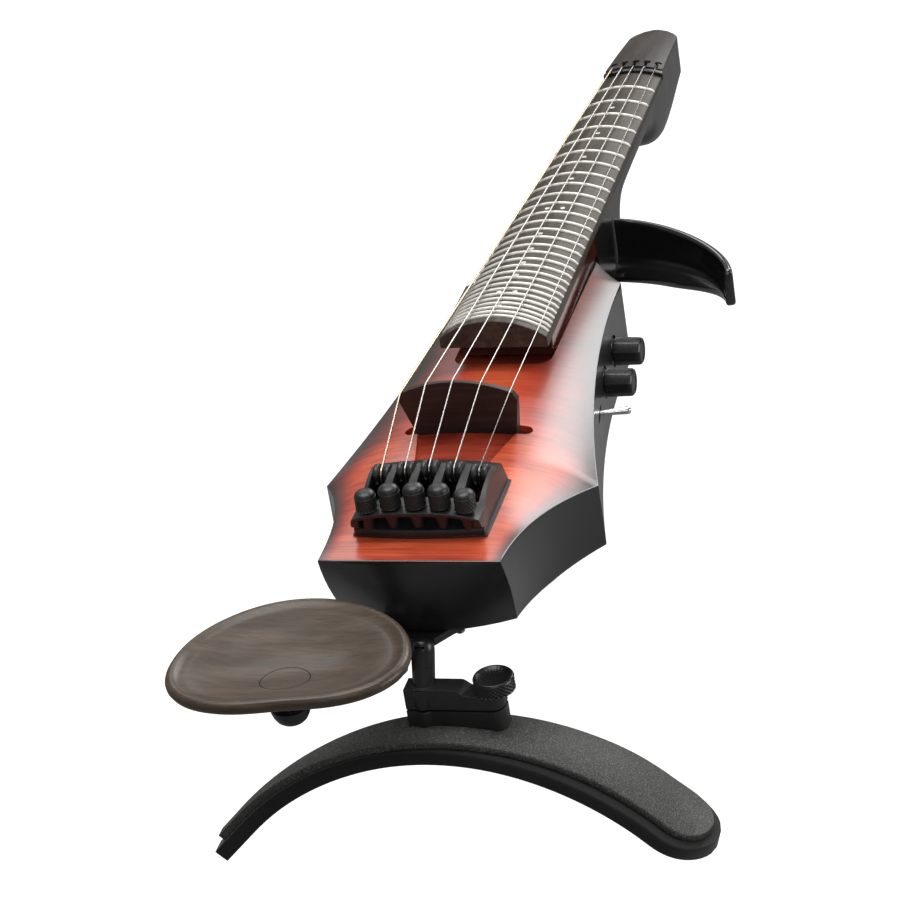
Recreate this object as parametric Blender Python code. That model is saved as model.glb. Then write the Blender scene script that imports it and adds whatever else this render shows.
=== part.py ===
"""Headless five-string electric violin with 29 frets, chin rest and shoulder rest.

Frame: the origin lies on the flat back of the body, on the centre line, under the bridge.
+X points to the treble side, +Y to the head and +Z away from the back, towards the strings.
All sizes below are millimetres; MM turns them into metres when a mesh is made.
"""
import math

import bmesh
import bpy
from mathutils import Vector

MM = 0.001
GAP = 0.3                      # clearance kept between pieces that touch

# strings and playing geometry
SCALE = 325.0                  # bridge to nut
FRETS = 29
STRING_DIAMETERS = (1.0, 0.9, 0.8, 0.7, 0.45)
PITCH_BRIDGE = 10.456
PITCH_ROLLER = 9.15
PITCH_NUT = 5.144
STRING_Z_BRIDGE = 64.3
STRING_Z_NUT = 48.7
STRING_RADIUS = 42.0           # radius of the arc that the five strings lie on

# body outline: corners of the right half (x, y) and the pull points of its concave sides
TAIL_CORNER = (33.5, -80.5)
LOWER_PULL = (34.2, -41.8)
LOWER_CORNER = (52.3, -10.3)
WAIST_PULL = (31.8, 63.2)
UPPER_CORNER = (32.5, 133.6)
CUTAWAY_PULL = (20.6, 146.0)
NECK_CORNER = (15.6, 160.3)
TAIL_UNDERCUT_CORNER = (31.7, -61.5)
TAIL_UNDERCUT_CENTRE = -70.5
TAIL_UNDERCUT_SHIFT = -1.6     # the undercut's lower edge sits a little to the bass side
TAIL_SWELL = (0.033, 0.6)      # at half height the tail is this share wider and this much fuller
TAIL_SWELL_FADE = 35.0         # distance from the tail in which the swelling dies away
LOWER_PULL_BACK = (33.6, -36.0)
SIDE_STEPS = (7, 10, 5)
COLUMNS = (-1.0, -0.9, -0.76, -0.55, -0.3, 0.0, 0.3, 0.55, 0.76, 0.9, 1.0)

# body heights
TOP_EDGE = 36.0
CROWN = 3.0
WING_DROP = 10.4
SKIN = 4.5                     # thickness of the figured top plate

# fingerboard and neck
BOARD_START = 56.0
BOARD_HALF = (21.5, 13.3)      # half widths at the body end and at the nut
BOARD_CROWN = (59.5, 46.6)     # top of the board on the centre line
BOARD_FLOOR = (48.0, 42.3)     # underside of the board
BOARD_RADIUS = 36.0
FRET_HEIGHT = 0.9
FRET_WIDTH = 1.3
FOOT_START = 72.0              # front of the neck foot that carries the board on the body
CHANNEL_FLOOR = 36.8
HEAD_END = 373.5
HEAD_BULGE = 7.5
HEAD_HALF_END = 11.2

# bridge and its slot
SLOT_HALF = 24.8
SLOT_Y = (6.0, 12.2)
RAMP_Y = (7.0, -28.5)          # sunk ramp between bridge and tuner
RAMP_HALF = (19.2, 11.5)
RAMP_Z = (38.9, 35.6)

# tuner mechanism
FRAME_HALF = 24.3
FRAME_TOP_HALF = 23.1
FRAME_Y = (-65.8, -27.2)
LEDGE_TAIL = -67.8             # tail edge of the ledge that the knobs stand on
BAY_HALF = (3.4, 2.9)          # half widths of a roller bay at its front and at the knobs
ROLLER_Y = -40.0
ROLLER_Z = (47.7, 48.8, 49.5, 48.8, 47.7)
ROLLER_RADIUS = 3.8
WRAP_RADIUS = 2.9              # centre line of a string round its roller
KNOB_Y = -62.8
KNOB_Z = 48.0
KNOB_DROP = 1.4                # how much lower the outer knobs sit
KNOB_HEIGHT = (9.0, 7.8)       # knob height at the middle and at the outer strings
KNOB_RADIUS = 3.95
CARRIAGE_Z = (28.0, 30.3)

# controls on the treble side
CONTROL_Z = 18.5
VOLUME_Y, TONE_Y, TOGGLE_Y, JACK_Y = 108.0, 82.0, 56.0, 56.0
COVER_SCREWS = ((0.0, -11.8), (4.0, 124.5))
BATTERY_BAY = (-14.5, 14.5, -8.5, 43.0)
CONTROL_KNOB_RADIUS = 5.8
CONTROL_KNOB_LENGTH = 11.6
TOGGLE_TILT = math.radians(13.0)

# upper bout arm: control points of its plan, top edge and wall
BOUT_PLAN = ((17.6, 194.5), (42.0, 192.0), (71.0, 166.0), (76.5, 143.0))
BOUT_TOP = 36.4
BOUT_WALL = 3.3

# chin rest
CHIN_PIVOT = (-15.0, -72.0)
CHIN_POST = (-32.0, -134.0)
DISH_CENTRE = (-33.0, -123.3)
DISH_HALF = (42.2, 33.4)
DISH_YAW = math.radians(8.8)
DISH_POWER = 2.25              # 2 would be an ellipse
DISH_SKEW = 0.06               # three-lobed swelling that makes the oval lopsided
DISH_SKEW_ANGLE = math.radians(-19.4)
DISH_RIM_Z = 26.0
DISH_DEPTH = 5.5
PLUG_RADIUS = 8.6

# shoulder rest, given from its arm's pivot down to the padded bar
ARM_PIVOT = (-0.6, -80.0, -1.5)
ARM_FOOT = (-0.9, -87.5, -20.8)
ARM_RADII = (4.3, 3.9)         # at the pivot and at the foot
THUMB = (25.6, -85.3)
JAW_X = (-7.1, 28.6)
JAW_Y = (-90.0, -82.0)
UPPER_JAW_Z = (-20.2, -14.4, -12.0)    # underside, step under the thumb screw, top
LOWER_JAW_TOP = -20.9
REST_CREST = (4.7, -27.0)      # x and z of the highest point of the bar's plate
REST_RADIUS = 111.5
REST_LEFT_ANGLE = math.radians(-45.8)
REST_LEFT_RUN = 19.1           # straight length at the left end
REST_RIGHT_ANGLE = math.radians(45.0)
REST_TIP_RADIUS = 43.0         # reverse curve at the right end
REST_TIP_ANGLE = math.radians(28.0)
REST_FRONT = (-101.5, -99.5)   # front edge of the plate at the left and right ends
REST_BACK = (-88.5, -72.6)     # back edge of the plate at the left and right ends
REST_TAPER = 8.0               # further narrowing of the left end, gone at the crest
PLATE_THICK = 3.0
FOAM_THICK = 5.5


# ---------------------------------------------------------------- small tools

def lerp(a, b, t):
    return a + (b - a) * t


def smooth(t):
    t = min(max(t, 0.0), 1.0)
    return t * t * (3.0 - 2.0 * t)


def bezier(p0, pull, p1, t):
    return tuple((1 - t) ** 2 * a + 2 * t * (1 - t) * c + t * t * b for a, c, b in zip(p0, pull, p1))


def material(name, colour, roughness, metallic=0.0):
    mat = bpy.data.materials.new(name)
    mat.use_nodes = True
    shader = mat.node_tree.nodes["Principled BSDF"]
    shader.inputs["Base Color"].default_value = (*colour, 1.0)
    shader.inputs["Roughness"].default_value = roughness
    shader.inputs["Metallic"].default_value = metallic
    return mat


def solid(name, geometry, mat, origin=(0.0, 0.0, 0.0)):
    """Make a named object from (points, faces) in millimetres, with its origin at a given place."""
    points, faces = geometry
    base = Vector(origin)
    bm = bmesh.new()
    verts = [bm.verts.new((Vector(p) - base) * MM) for p in points]
    for face in faces:
        bm.faces.new([verts[i] for i in face])
    bm.normal_update()
    bmesh.ops.triangulate(bm, faces=bm.faces)
    bmesh.ops.recalc_face_normals(bm, faces=bm.faces)
    mesh = bpy.data.meshes.new(name)
    bm.to_mesh(mesh)
    bm.free()
    mesh.materials.append(mat)
    obj = bpy.data.objects.new(name, mesh)
    obj.location = base * MM
    bpy.context.scene.collection.objects.link(obj)
    return obj


def combine(target, geometry, operation="DIFFERENCE"):
    """Cut a closed shape from a solid, or join it on, and keep the result as the solid's mesh."""
    tool = solid("tool", geometry, target.data.materials[0])
    step = target.modifiers.new("step", "BOOLEAN")
    step.solver = "EXACT"
    step.operation = operation
    step.object = tool
    bpy.context.view_layer.update()
    graph = bpy.context.evaluated_depsgraph_get()
    result = bpy.data.meshes.new_from_object(target.evaluated_get(graph))
    target.modifiers.remove(step)
    before = target.data
    target.data = result
    bpy.data.meshes.remove(before)
    bpy.data.objects.remove(tool, do_unlink=True)


def loft(rings):
    """Skin a list of rings with equal point counts and cap both ends."""
    count = len(rings[0])
    points = [p for ring in rings for p in ring]
    faces = []
    for r in range(len(rings) - 1):
        for i in range(count):
            j = (i + 1) % count
            faces.append((r * count + i, r * count + j, (r + 1) * count + j, (r + 1) * count + i))
    last = (len(rings) - 1) * count
    faces.append(tuple(range(count - 1, -1, -1)))
    faces.append(tuple(range(last, last + count)))
    return points, faces


def box(x0, x1, y0, y1, z0, z1):
    ring = [(x0, y0), (x1, y0), (x1, y1), (x0, y1)]
    return loft([[(x, y, z) for x, y in ring] for z in (z0, z1)])


def prism(outline, z0, z1):
    return loft([[(x, y, z) for x, y in outline] for z in (z0, z1)])


def turned(profile, centre, axis, sides):
    """Turn a profile of (distance along the axis, radius) round an axis through a centre."""
    cx, cy, cz = centre
    rings = []
    for along, radius in profile:
        ring = []
        for i in range(sides):
            a = 2 * math.pi * i / sides
            u, v = radius * math.cos(a), radius * math.sin(a)
            ring.append((cx + along, cy + u, cz + v) if axis == "X" else (cx + u, cy + v, cz + along))
        rings.append(ring)
    return loft(rings)


def tube(path, radii, sides):
    """A round bar along a path of points, with a radius for each of them."""
    pts = [Vector(p) for p in path]
    rings = []
    side = None
    for i, p in enumerate(pts):
        ahead = (pts[min(i + 1, len(pts) - 1)] - pts[max(i - 1, 0)]).normalized()
        reference = side if side is not None else Vector((1.0, 0.0, 0.0))
        side = (reference - ahead * reference.dot(ahead)).normalized()
        up = ahead.cross(side)
        ring = []
        for k in range(sides):
            a = 2 * math.pi * k / sides
            ring.append(tuple(p + side * (radii[i] * math.cos(a)) + up * (radii[i] * math.sin(a))))
        rings.append(ring)
    return loft(rings)


def stadium(half, y0, y1, steps=6):
    """Outline of a slot along X with round ends."""
    radius = (y1 - y0) / 2
    middle = (y0 + y1) / 2
    outline = []
    for side in (1, -1):
        for i in range(steps + 1):
            a = math.pi * (i / steps - 0.5)
            x = half - radius + radius * math.cos(a)
            outline.append((side * x, middle + side * radius * math.sin(a)))
    return outline


def round_rect(x0, x1, y0, y1, radius, steps=3):
    corners = ((x1 - radius, y0 + radius, -90), (x1 - radius, y1 - radius, 0),
               (x0 + radius, y1 - radius, 90), (x0 + radius, y0 + radius, 180))
    outline = []
    for cx, cy, start in corners:
        for i in range(steps + 1):
            a = math.radians(start + 90 * i / steps)
            outline.append((cx + radius * math.cos(a), cy + radius * math.sin(a)))
    return outline


# ---------------------------------------------------------------- shared shape rules

def side_line(pulls_low, tail):
    """Right side of the body as (x, y) points from the tail corner to the neck corner."""
    stretches = ((tail, pulls_low, LOWER_CORNER), (LOWER_CORNER, WAIST_PULL, UPPER_CORNER),
                 (UPPER_CORNER, CUTAWAY_PULL, NECK_CORNER))
    line = [tail]
    for (start, pull, end), steps in zip(stretches, SIDE_STEPS):
        line += [bezier(start, pull, end, (i + 1) / steps) for i in range(steps)]
    return line


def wall_x(y):
    """Half width of the body, from the tail to the upper corners, at a given y."""
    curve = (TAIL_CORNER, LOWER_PULL, LOWER_CORNER) if y < LOWER_CORNER[1] else (
        LOWER_CORNER, WAIST_PULL, UPPER_CORNER)
    low, high = 0.0, 1.0
    for _ in range(40):
        t = (low + high) / 2
        if bezier(*curve, t)[1] < y:
            low = t
        else:
            high = t
    return bezier(*curve, low)[0]


def crown_z(y):
    return TOP_EDGE + CROWN * smooth((y - TAIL_CORNER[1]) / 75.0)


def edge_z(y):
    """Height of the top's edge: it falls towards the lower corner and rises to both ends."""
    if y < LOWER_CORNER[1]:
        t = (y - TAIL_CORNER[1]) / (LOWER_CORNER[1] - TAIL_CORNER[1])
        return TOP_EDGE - WING_DROP * t ** 1.6
    t = (y - LOWER_CORNER[1]) / (UPPER_CORNER[1] - LOWER_CORNER[1])
    return TOP_EDGE - WING_DROP * max(1 - t, 0.0) ** 1.8


def top_z(y, u):
    return lerp(crown_z(y), edge_z(y), abs(u) ** 3.2)


def board_value(pair, y):
    return lerp(pair[0], pair[1], (y - BOARD_START) / (SCALE - BOARD_START))


def board_top(x, y):
    sag = BOARD_RADIUS - math.sqrt(BOARD_RADIUS ** 2 - x * x)
    return board_value(BOARD_CROWN, y) - sag


def fret_y(n):
    return SCALE * 2 ** (-n / 12)


def string_x(index, pitch):
    return (index - 2) * pitch


def string_z(x, height):
    return height - x * x / (2 * STRING_RADIUS)


def rest_curve(steps_run=3, steps_arc=14, steps_tip=7):
    """Centre line of the shoulder rest's top face as (x, z, slope angle), from left to right."""
    crest_x, crest_z = REST_CREST
    centre_z = crest_z - REST_RADIUS
    line = []
    for i in range(steps_run):
        run = REST_LEFT_RUN * (1 - i / steps_run)
        x = crest_x + REST_RADIUS * math.sin(REST_LEFT_ANGLE) - run * math.cos(REST_LEFT_ANGLE)
        z = centre_z + REST_RADIUS * math.cos(REST_LEFT_ANGLE) + run * math.sin(REST_LEFT_ANGLE)
        line.append((x, z, -REST_LEFT_ANGLE))
    for i in range(steps_arc + 1):
        a = lerp(REST_LEFT_ANGLE, REST_RIGHT_ANGLE, i / steps_arc)
        line.append((crest_x + REST_RADIUS * math.sin(a), centre_z + REST_RADIUS * math.cos(a), -a))
    end_x, end_z, _ = line[-1]
    tip_x = end_x + REST_TIP_RADIUS * math.sin(REST_RIGHT_ANGLE)
    tip_z = end_z + REST_TIP_RADIUS * math.cos(REST_RIGHT_ANGLE)
    for i in range(1, steps_tip + 1):
        a = REST_RIGHT_ANGLE - REST_TIP_ANGLE * i / steps_tip
        line.append((tip_x - REST_TIP_RADIUS * math.sin(a), tip_z - REST_TIP_RADIUS * math.cos(a), -a))
    return line


# ---------------------------------------------------------------- body

def surface_grid(line, drop):
    """Rows of points over the top face, lowered by a given amount."""
    return [[(w * u, y, top_z(y, u) - drop) for u in COLUMNS] for w, y in line]


def grid_edge(grid):
    """Points round the edge of a grid, in order."""
    right = [row[-1] for row in grid]
    left = [row[0] for row in grid]
    return list(grid[0][:-1]) + right[:-1] + list(reversed(grid[-1][1:])) + list(reversed(left[1:]))


def body_back_geometry():
    line = side_line(LOWER_PULL, TAIL_CORNER)
    under = side_line(LOWER_PULL_BACK, TAIL_UNDERCUT_CORNER)
    grid = surface_grid(line, SKIN + GAP)
    tail_row = [(under[0][0] * u + TAIL_UNDERCUT_SHIFT, lerp(TAIL_UNDERCUT_CENTRE, under[0][1], u * u), 0.0)
                for u in COLUMNS]
    floor = [tail_row] + [[(w * u, y, 0.0) for u in COLUMNS] for w, y in under[1:]]
    cols = len(COLUMNS)
    points = [p for row in grid for p in row]
    faces = []
    for r in range(len(grid) - 1):
        for c in range(cols - 1):
            a = r * cols + c
            faces.append((a, a + 1, a + cols + 1, a + cols))
    rim, sole = grid_edge(grid), grid_edge(floor)
    upper = [points.index(p) for p in rim]
    middle = list(range(len(points), len(points) + len(rim)))
    lower = [i + len(rim) for i in middle]
    wider, fuller = TAIL_SWELL
    for i, (a, b) in enumerate(zip(rim, sole)):
        x, y, z = (lerp(p, q, 0.5) for p, q in zip(a, b))
        fade = max(0.0, 1.0 - (y - (TAIL_CORNER[1] + TAIL_UNDERCUT_CORNER[1]) / 2) / TAIL_SWELL_FADE)
        points.append((x * (1.0 + wider * min(fade, 1.0)), y - (fuller if i < cols else 0.0), z))
    points += sole
    for i in range(len(rim)):
        j = (i + 1) % len(rim)
        faces.append((upper[i], middle[i], middle[j], upper[j]))
        faces.append((middle[i], lower[i], lower[j], middle[j]))
    faces.append(tuple(lower))
    return points, faces


def control_cavity():
    right = [(wall_x(y) - 5.4, y) for y in (46.0, 66.0, 92.0, 122.0)]
    return [(-14.0, 46.0)] + right + [(-14.0, 122.0)]


def cover_outline(shrink):
    """Outline of the back cover over the battery bay and the control cavity."""
    right = [(wall_x(y) - 2.9 - shrink, y) for y in (41.0 + shrink, 66.0, 92.0, 127.0 - shrink)]
    left, tail = -17.5 + shrink, -15.0 + shrink
    return [(left, tail), (-left, tail), (-left, 41.0 + shrink)] + right + [(left, 127.0 - shrink)]


def body_back(mat):
    body = solid("body_back", body_back_geometry(), mat)
    combine(body, prism(control_cavity(), -1.0, 27.0))
    combine(body, box(*BATTERY_BAY, -1.0, 22.0))
    combine(body, prism(cover_outline(0.0), -1.0, 2.5))
    for y, bore, sink in ((VOLUME_Y, 4.1, 6.5), (TONE_Y, 4.1, 6.5), (TOGGLE_Y, 3.3, 4.6)):
        wall = wall_x(y)
        steps = [(-12.0, bore), (-1.2, bore), (-1.2, sink), (6.0, sink)]
        combine(body, turned(steps, (wall, y, CONTROL_Z), "X", 20))
    jack_steps = [(-6.0, 7.2), (1.2, 7.2), (1.2, 5.0), (40.0, 5.0)]
    combine(body, turned(jack_steps, (-wall_x(JACK_Y), JACK_Y, CONTROL_Z), "X", 20))
    for x, y in COVER_SCREWS:
        combine(body, turned([(1.0, 1.4), (8.0, 1.4)], (x, y, 0.0), "Z", 10))
    combine(body, box(-22.3, 22.3, -66.2, -33.0, 23.5, 45.0))
    combine(body, prism(stadium(SLOT_HALF, *SLOT_Y), 29.5, 45.0))
    return body


def ramp():
    """Cutting shape for the sunk ramp: arched across, and deeper and narrower towards the tuner."""
    rings = []
    for y, half, floor in zip(RAMP_Y, RAMP_HALF, RAMP_Z):
        bottom = [(half * u, y, floor - 0.8 * u * u) for u in (-1.0, -0.5, 0.0, 0.5, 1.0)]
        rings.append(bottom + [(half, y, 44.0), (-half, y, 44.0)])
    return loft(rings)


def top_plate(mat):
    line = side_line(LOWER_PULL, TAIL_CORNER)
    upper, lower = surface_grid(line, 0.0), surface_grid(line, SKIN)
    cols = len(COLUMNS)
    size = len(line) * cols
    points = [p for grid in (upper, lower) for row in grid for p in row]
    faces = []
    for r in range(len(line) - 1):
        for c in range(cols - 1):
            a = r * cols + c
            faces.append((a, a + 1, a + cols + 1, a + cols))
            faces.append((size + a, size + a + cols, size + a + cols + 1, size + a + 1))
    rim = [points.index(p) for p in grid_edge(upper)]
    for i in range(len(rim)):
        a, b = rim[i], rim[(i + 1) % len(rim)]
        faces.append((a, b, size + b, size + a))
    plate = solid("top_plate", (points, faces), mat)
    combine(plate, prism(stadium(SLOT_HALF, *SLOT_Y), 30.0, 45.0))
    combine(plate, ramp())
    combine(plate, box(-21.9, 21.9, -62.6, -33.0, 30.0, 45.0))
    for i in range(5):
        combine(plate, turned([(25.0, 1.6), (45.0, 1.6)], (string_x(i, PITCH_ROLLER), KNOB_Y, 0.0), "Z", 10))
    combine(plate, prism(round_rect(-19.2, 19.2, 60.5, 175.0, 6.0), CHANNEL_FLOOR, 45.0))
    return plate


# ---------------------------------------------------------------- neck, board and head

def neck_section(y, half, side_z, low_z, power, top_z_value):
    """One ring of the neck: flat top, straight sides down to side_z, then a rounded underside."""
    ring = [(half, y, top_z_value)]
    steps = 10
    for i in range(steps + 1):
        a = math.pi * i / steps
        c, s = math.cos(a), math.sin(a)
        x = half * math.copysign(abs(c) ** (2 / power), c)
        ring.append((x, y, side_z - (side_z - low_z) * abs(s) ** (2 / power)))
    ring.append((-half, y, top_z_value))
    return ring


def neck_geometry():
    under_board = lambda y: board_value(BOARD_FLOOR, y) - GAP
    half = lambda y: board_value(BOARD_HALF, y) - 0.15
    head_top = lambda y: lerp(46.0, 41.6, (y - 329.0) / (HEAD_END - 329.0))
    rows = [(FOOT_START, 18.7, 38.0, 37.1, 9.0, under_board(FOOT_START)),
            (160.5, 17.2, 38.0, 37.1, 9.0, under_board(160.5)),
            (160.6, 17.2, 12.0, 4.0, 6.0, under_board(160.6)),
            (186.0, 17.2, 14.0, 5.0, 6.0, under_board(186.0)),
            (197.0, 17.0, 24.0, 9.0, 5.0, under_board(197.0)),
            (204.0, 16.9, 33.0, 19.0, 4.0, under_board(204.0)),
            (210.0, half(210), 38.5, 28.0, 3.0, under_board(210.0)),
            (220.0, half(220), 41.0, 32.0, 2.4, under_board(220.0))]
    for y in (245.0, 270.0, 288.0):
        rows.append((y, half(y), under_board(y) - 3.0, under_board(y) - 12.0, 2.2, under_board(y)))
    rows += [(298.0, half(298), 38.0, 26.0, 2.3, under_board(298.0)),
             (306.0, 13.8, 34.0, 19.0, 2.5, under_board(306.0)),
             (316.0, 13.5, 30.0, 14.5, 2.6, under_board(316.0)),
             (325.0, 13.3, 29.0, 13.2, 2.8, under_board(325.0)),
             (328.2, 13.2, 29.0, 13.2, 2.8, under_board(325.0)),
             (328.3, 13.2, 29.0, 13.2, 2.8, 46.0),
             (338.0, 12.8, 29.0, 14.2, 3.0, head_top(338.0)),
             (350.0, 12.3, 29.0, 17.3, 3.4, head_top(350.0)),
             (362.0, 11.7, 29.0, 20.6, 4.0, head_top(362.0)),
             (HEAD_END, HEAD_HALF_END, 29.0, 23.6, 5.0, head_top(HEAD_END)),
             (HEAD_END + 0.45 * HEAD_BULGE, 9.0, 29.5, 24.4, 5.0, head_top(376.8)),
             (HEAD_END + 0.8 * HEAD_BULGE, 5.4, 30.0, 25.0, 5.0, head_top(379.4)),
             (HEAD_END + HEAD_BULGE, 1.2, 30.2, 25.6, 5.0, head_top(380.8))]
    return loft([neck_section(*row) for row in rows])


def neck(mat):
    piece = solid("neck", neck_geometry(), mat)
    combine(piece, box(-12.0, 12.0, 330.0, 338.5, 38.0, 50.0))
    return piece


def board_half(y):
    return board_value(BOARD_HALF, y)


def rail(half, low, high, trim):
    """A straight bar along the board's underside, between heights measured from that underside."""
    rings = []
    for y in (fret_y(FRETS) - trim, fret_y(1) + trim):
        floor = board_value(BOARD_FLOOR, y)
        rings.append([(-half, y, floor + low), (half, y, floor + low), (half, y, floor + high),
                      (-half, y, floor + high)])
    return loft(rings)


def fingerboard(mat):
    columns = 12
    rings = []
    for y in (BOARD_START, SCALE):
        half, floor = board_half(y), board_value(BOARD_FLOOR, y)
        arc = [half * (1 - 2 * i / columns) for i in range(columns + 1)]
        rings.append([(-half, y, floor), (half, y, floor)] + [(x, y, board_top(x, y)) for x in arc])
    piece = solid("fingerboard", loft(rings), mat)
    combine(piece, rail(1.1, -3.0, 1.7, 1.2))
    for n in range(1, FRETS + 1):
        y = fret_y(n)
        combine(piece, box(-1.1, 1.1, y - 0.55, y + 0.55, board_value(BOARD_FLOOR, y) + 0.6, 62.0))
    return piece


def fret_set(mat):
    """All frets on one hidden rail: their tangs pass through the board to a rail in its underside."""
    piece = solid("fret_set", rail(0.7, 0.4, 1.3, 0.8), mat)
    for n in range(1, FRETS + 1):
        y = fret_y(n)
        half = board_half(y) - 0.4
        rings = []
        for i in range(9):
            x = half * (1 - i / 4)
            z = board_top(x, y) + GAP
            rings.append([(x, y - FRET_WIDTH / 2, z), (x, y + FRET_WIDTH / 2, z),
                          (x, y + 0.25, z + FRET_HEIGHT - GAP), (x, y - 0.25, z + FRET_HEIGHT - GAP)])
        crown = loft(rings)
        floor = board_value(BOARD_FLOOR, y)
        tang = box(-0.6, 0.6, y - 0.25, y + 0.25, floor + 0.8, board_top(0, y) + GAP + 0.3)
        combine(piece, tang, "UNION")
        combine(piece, crown, "UNION")
    return piece


def nut(mat):
    steps = 8
    half = BOARD_HALF[1] + 0.5
    arc = [half * (1 - 2 * i / steps) for i in range(steps + 1)]
    rings = []
    for y in (SCALE + GAP, SCALE + 2.9):
        rings.append([(-half, y, BOARD_FLOOR[1]), (half, y, BOARD_FLOOR[1])]
                     + [(x, y, string_z(x, STRING_Z_NUT) - 1.0) for x in arc])
    return solid("nut", loft(rings), mat)


def head_plate(mat):
    """Dark cap over the head, arched across, with five slots that swallow the string ends."""
    rows = [(328.3, 13.2), (345.0, 12.5), (360.0, 11.8), (HEAD_END, HEAD_HALF_END),
            (HEAD_END + 0.45 * HEAD_BULGE, 9.0), (HEAD_END + 0.8 * HEAD_BULGE, 5.4),
            (HEAD_END + HEAD_BULGE, 1.2)]
    columns = 8
    rings = []
    for y, half in rows:
        crown = lerp(48.7, 44.6, (y - 328.3) / (HEAD_END + HEAD_BULGE - 328.3))
        floor = lerp(46.0, 41.6, (y - 329.0) / (HEAD_END - 329.0)) + GAP
        arc = [half * (1 - 2 * i / columns) for i in range(columns + 1)]
        rings.append([(-half, y, floor), (half, y, floor)]
                     + [(x, y, max(crown - x * x / 74.0, floor + 0.2)) for x in arc])
    piece = solid("head_plate", loft(rings), mat)
    for i in range(5):
        x = string_x(i, PITCH_NUT)
        combine(piece, prism(round_rect(x - 0.95, x + 0.95, 327.0, 336.0, 0.6, 2), 40.0, 52.0))
    return piece


# ---------------------------------------------------------------- bridge, strings

def bridge(mat):
    """Fan-shaped bridge: both faces lean towards a thin top edge that follows the strings."""
    tail_face = lambda z: lerp(7.1, -0.6, (z - 36.0) / 28.0)
    head_face = lambda z: min(11.6, lerp(11.6, 1.0, (z - 39.0) / 25.0))
    outline = [(-19.2, 34.0), (19.2, 34.0), (19.5, 39.0), (22.8, 54.5)]
    for i in range(13):
        x = 21.5 * (1 - i / 6)
        outline.append((x, string_z(x, STRING_Z_BRIDGE) - 0.95))
    outline += [(-22.8, 54.5), (-19.5, 39.0)]
    rings = [[(x, face(z), z) for x, z in outline] for face in (tail_face, head_face)]
    return solid("bridge", loft(rings), mat)


def string_path(index):
    """From the anchor in the head over nut and bridge, round the roller and down towards its carriage."""
    x_nut, x_bridge = string_x(index, PITCH_NUT), string_x(index, PITCH_BRIDGE)
    x_roll, z_roll = string_x(index, PITCH_ROLLER), ROLLER_Z[index]
    z_bridge = string_z(x_bridge, STRING_Z_BRIDGE)
    fall = math.atan2(z_bridge - z_roll - WRAP_RADIUS, -ROLLER_Y)
    path = [(x_nut, 334.4, 44.0), (x_nut, 332.4, 46.4), (x_nut, SCALE + 2.6, string_z(x_nut, STRING_Z_NUT)),
            (x_bridge, -0.4, z_bridge)]
    for k in range(5):
        a = lerp(math.pi / 2 + fall, math.pi, k / 4)
        path.append((x_roll, ROLLER_Y + WRAP_RADIUS * math.cos(a), z_roll + WRAP_RADIUS * math.sin(a)))
    path.append((x_roll, ROLLER_Y - WRAP_RADIUS, 33.0))
    return path


# ---------------------------------------------------------------- tuner

def knob_seat(x):
    """Height of a knob's foot: the row of knobs and the ledge under it fall towards both ends."""
    return KNOB_Z - KNOB_DROP * abs(x / string_x(4, PITCH_ROLLER)) ** 3


def ledge_z(x):
    return knob_seat(x) - GAP


def frame_ring(x):
    """Side profile of the tuner frame at a given x, from the tail lip over the ledge to the front bar."""
    share = (x / FRAME_HALF) ** 2
    tail, ledge_tail = FRAME_Y[0] + 2.4 * share, LEDGE_TAIL + 0.8 * share
    base = lambda y: top_z(y, x / wall_x(y)) + GAP + 0.1
    ledge, bay, bar = ledge_z(x), 50.9 - x * x / 400.0, 48.4 - x * x / 356.0
    profile = [(tail, base(tail)), (tail - 0.8, 38.4), (tail - 0.8, 39.3), (tail, 39.9),
               (ledge_tail + 0.3, ledge - 1.7), (ledge_tail, ledge - 1.2), (ledge_tail, ledge),
               (-57.5, ledge), (-43.5, bay - 0.2), (-36.5, bay), (-34.0, bar), (-29.8, bar - 0.4),
               (FRAME_Y[1], base(FRAME_Y[1])), (-42.0, base(-42.0)), (-58.0, base(-58.0))]
    taper = 1.0 - FRAME_TOP_HALF / FRAME_HALF
    return [(x * (1.0 - taper * smooth((z - 42.0) / 5.0)), y, z) for y, z in profile]


def tray():
    """Cutting shape for the open tray under the ledge, where the knobs' screws pass down."""
    rings = []
    for x in (-21.2, -10.6, 0.0, 10.6, 21.2):
        roof = ledge_z(x) - 1.6
        rings.append([(x, -75.0, 41.2), (x, -65.4, 41.2), (x, -65.0, 39.3), (x, -58.4, 39.3), (x, -58.4, roof),
                      (x, -75.0, roof)])
    return loft(rings)


def tuner_frame(mat):
    xs = [FRAME_HALF * u for u in (-1.0, -0.88, -0.75, -0.5, -0.25, 0.0, 0.25, 0.5, 0.75, 0.88, 1.0)]
    piece = solid("tuner_frame", loft([frame_ring(x) for x in xs]), mat)
    combine(piece, tray())
    wide, narrow = BAY_HALF
    for i in range(5):
        x = string_x(i, PITCH_ROLLER)
        bay = [(x - narrow, -56.6), (x + narrow, -56.6), (x + wide, -34.2), (x - wide, -34.2)]
        combine(piece, prism(bay, 30.0, 60.0))
        combine(piece, turned([(-4.25, 1.25), (4.25, 1.25)], (x, ROLLER_Y, ROLLER_Z[i]), "X", 10))
        seat = ledge_z(x)
        combine(piece, turned([(30.0, 1.7), (seat, 1.7), (seat, 4.3), (60.0, 4.3)], (x, KNOB_Y, 0.0), "Z", 12))
    return piece


def roller_profile():
    half = [(0.6, 2.1), (1.1, ROLLER_RADIUS), (2.7, ROLLER_RADIUS), (3.0, 3.4), (3.0, 0.9), (3.95, 0.9)]
    return [(-a, r) for a, r in reversed(half)] + half


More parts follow.
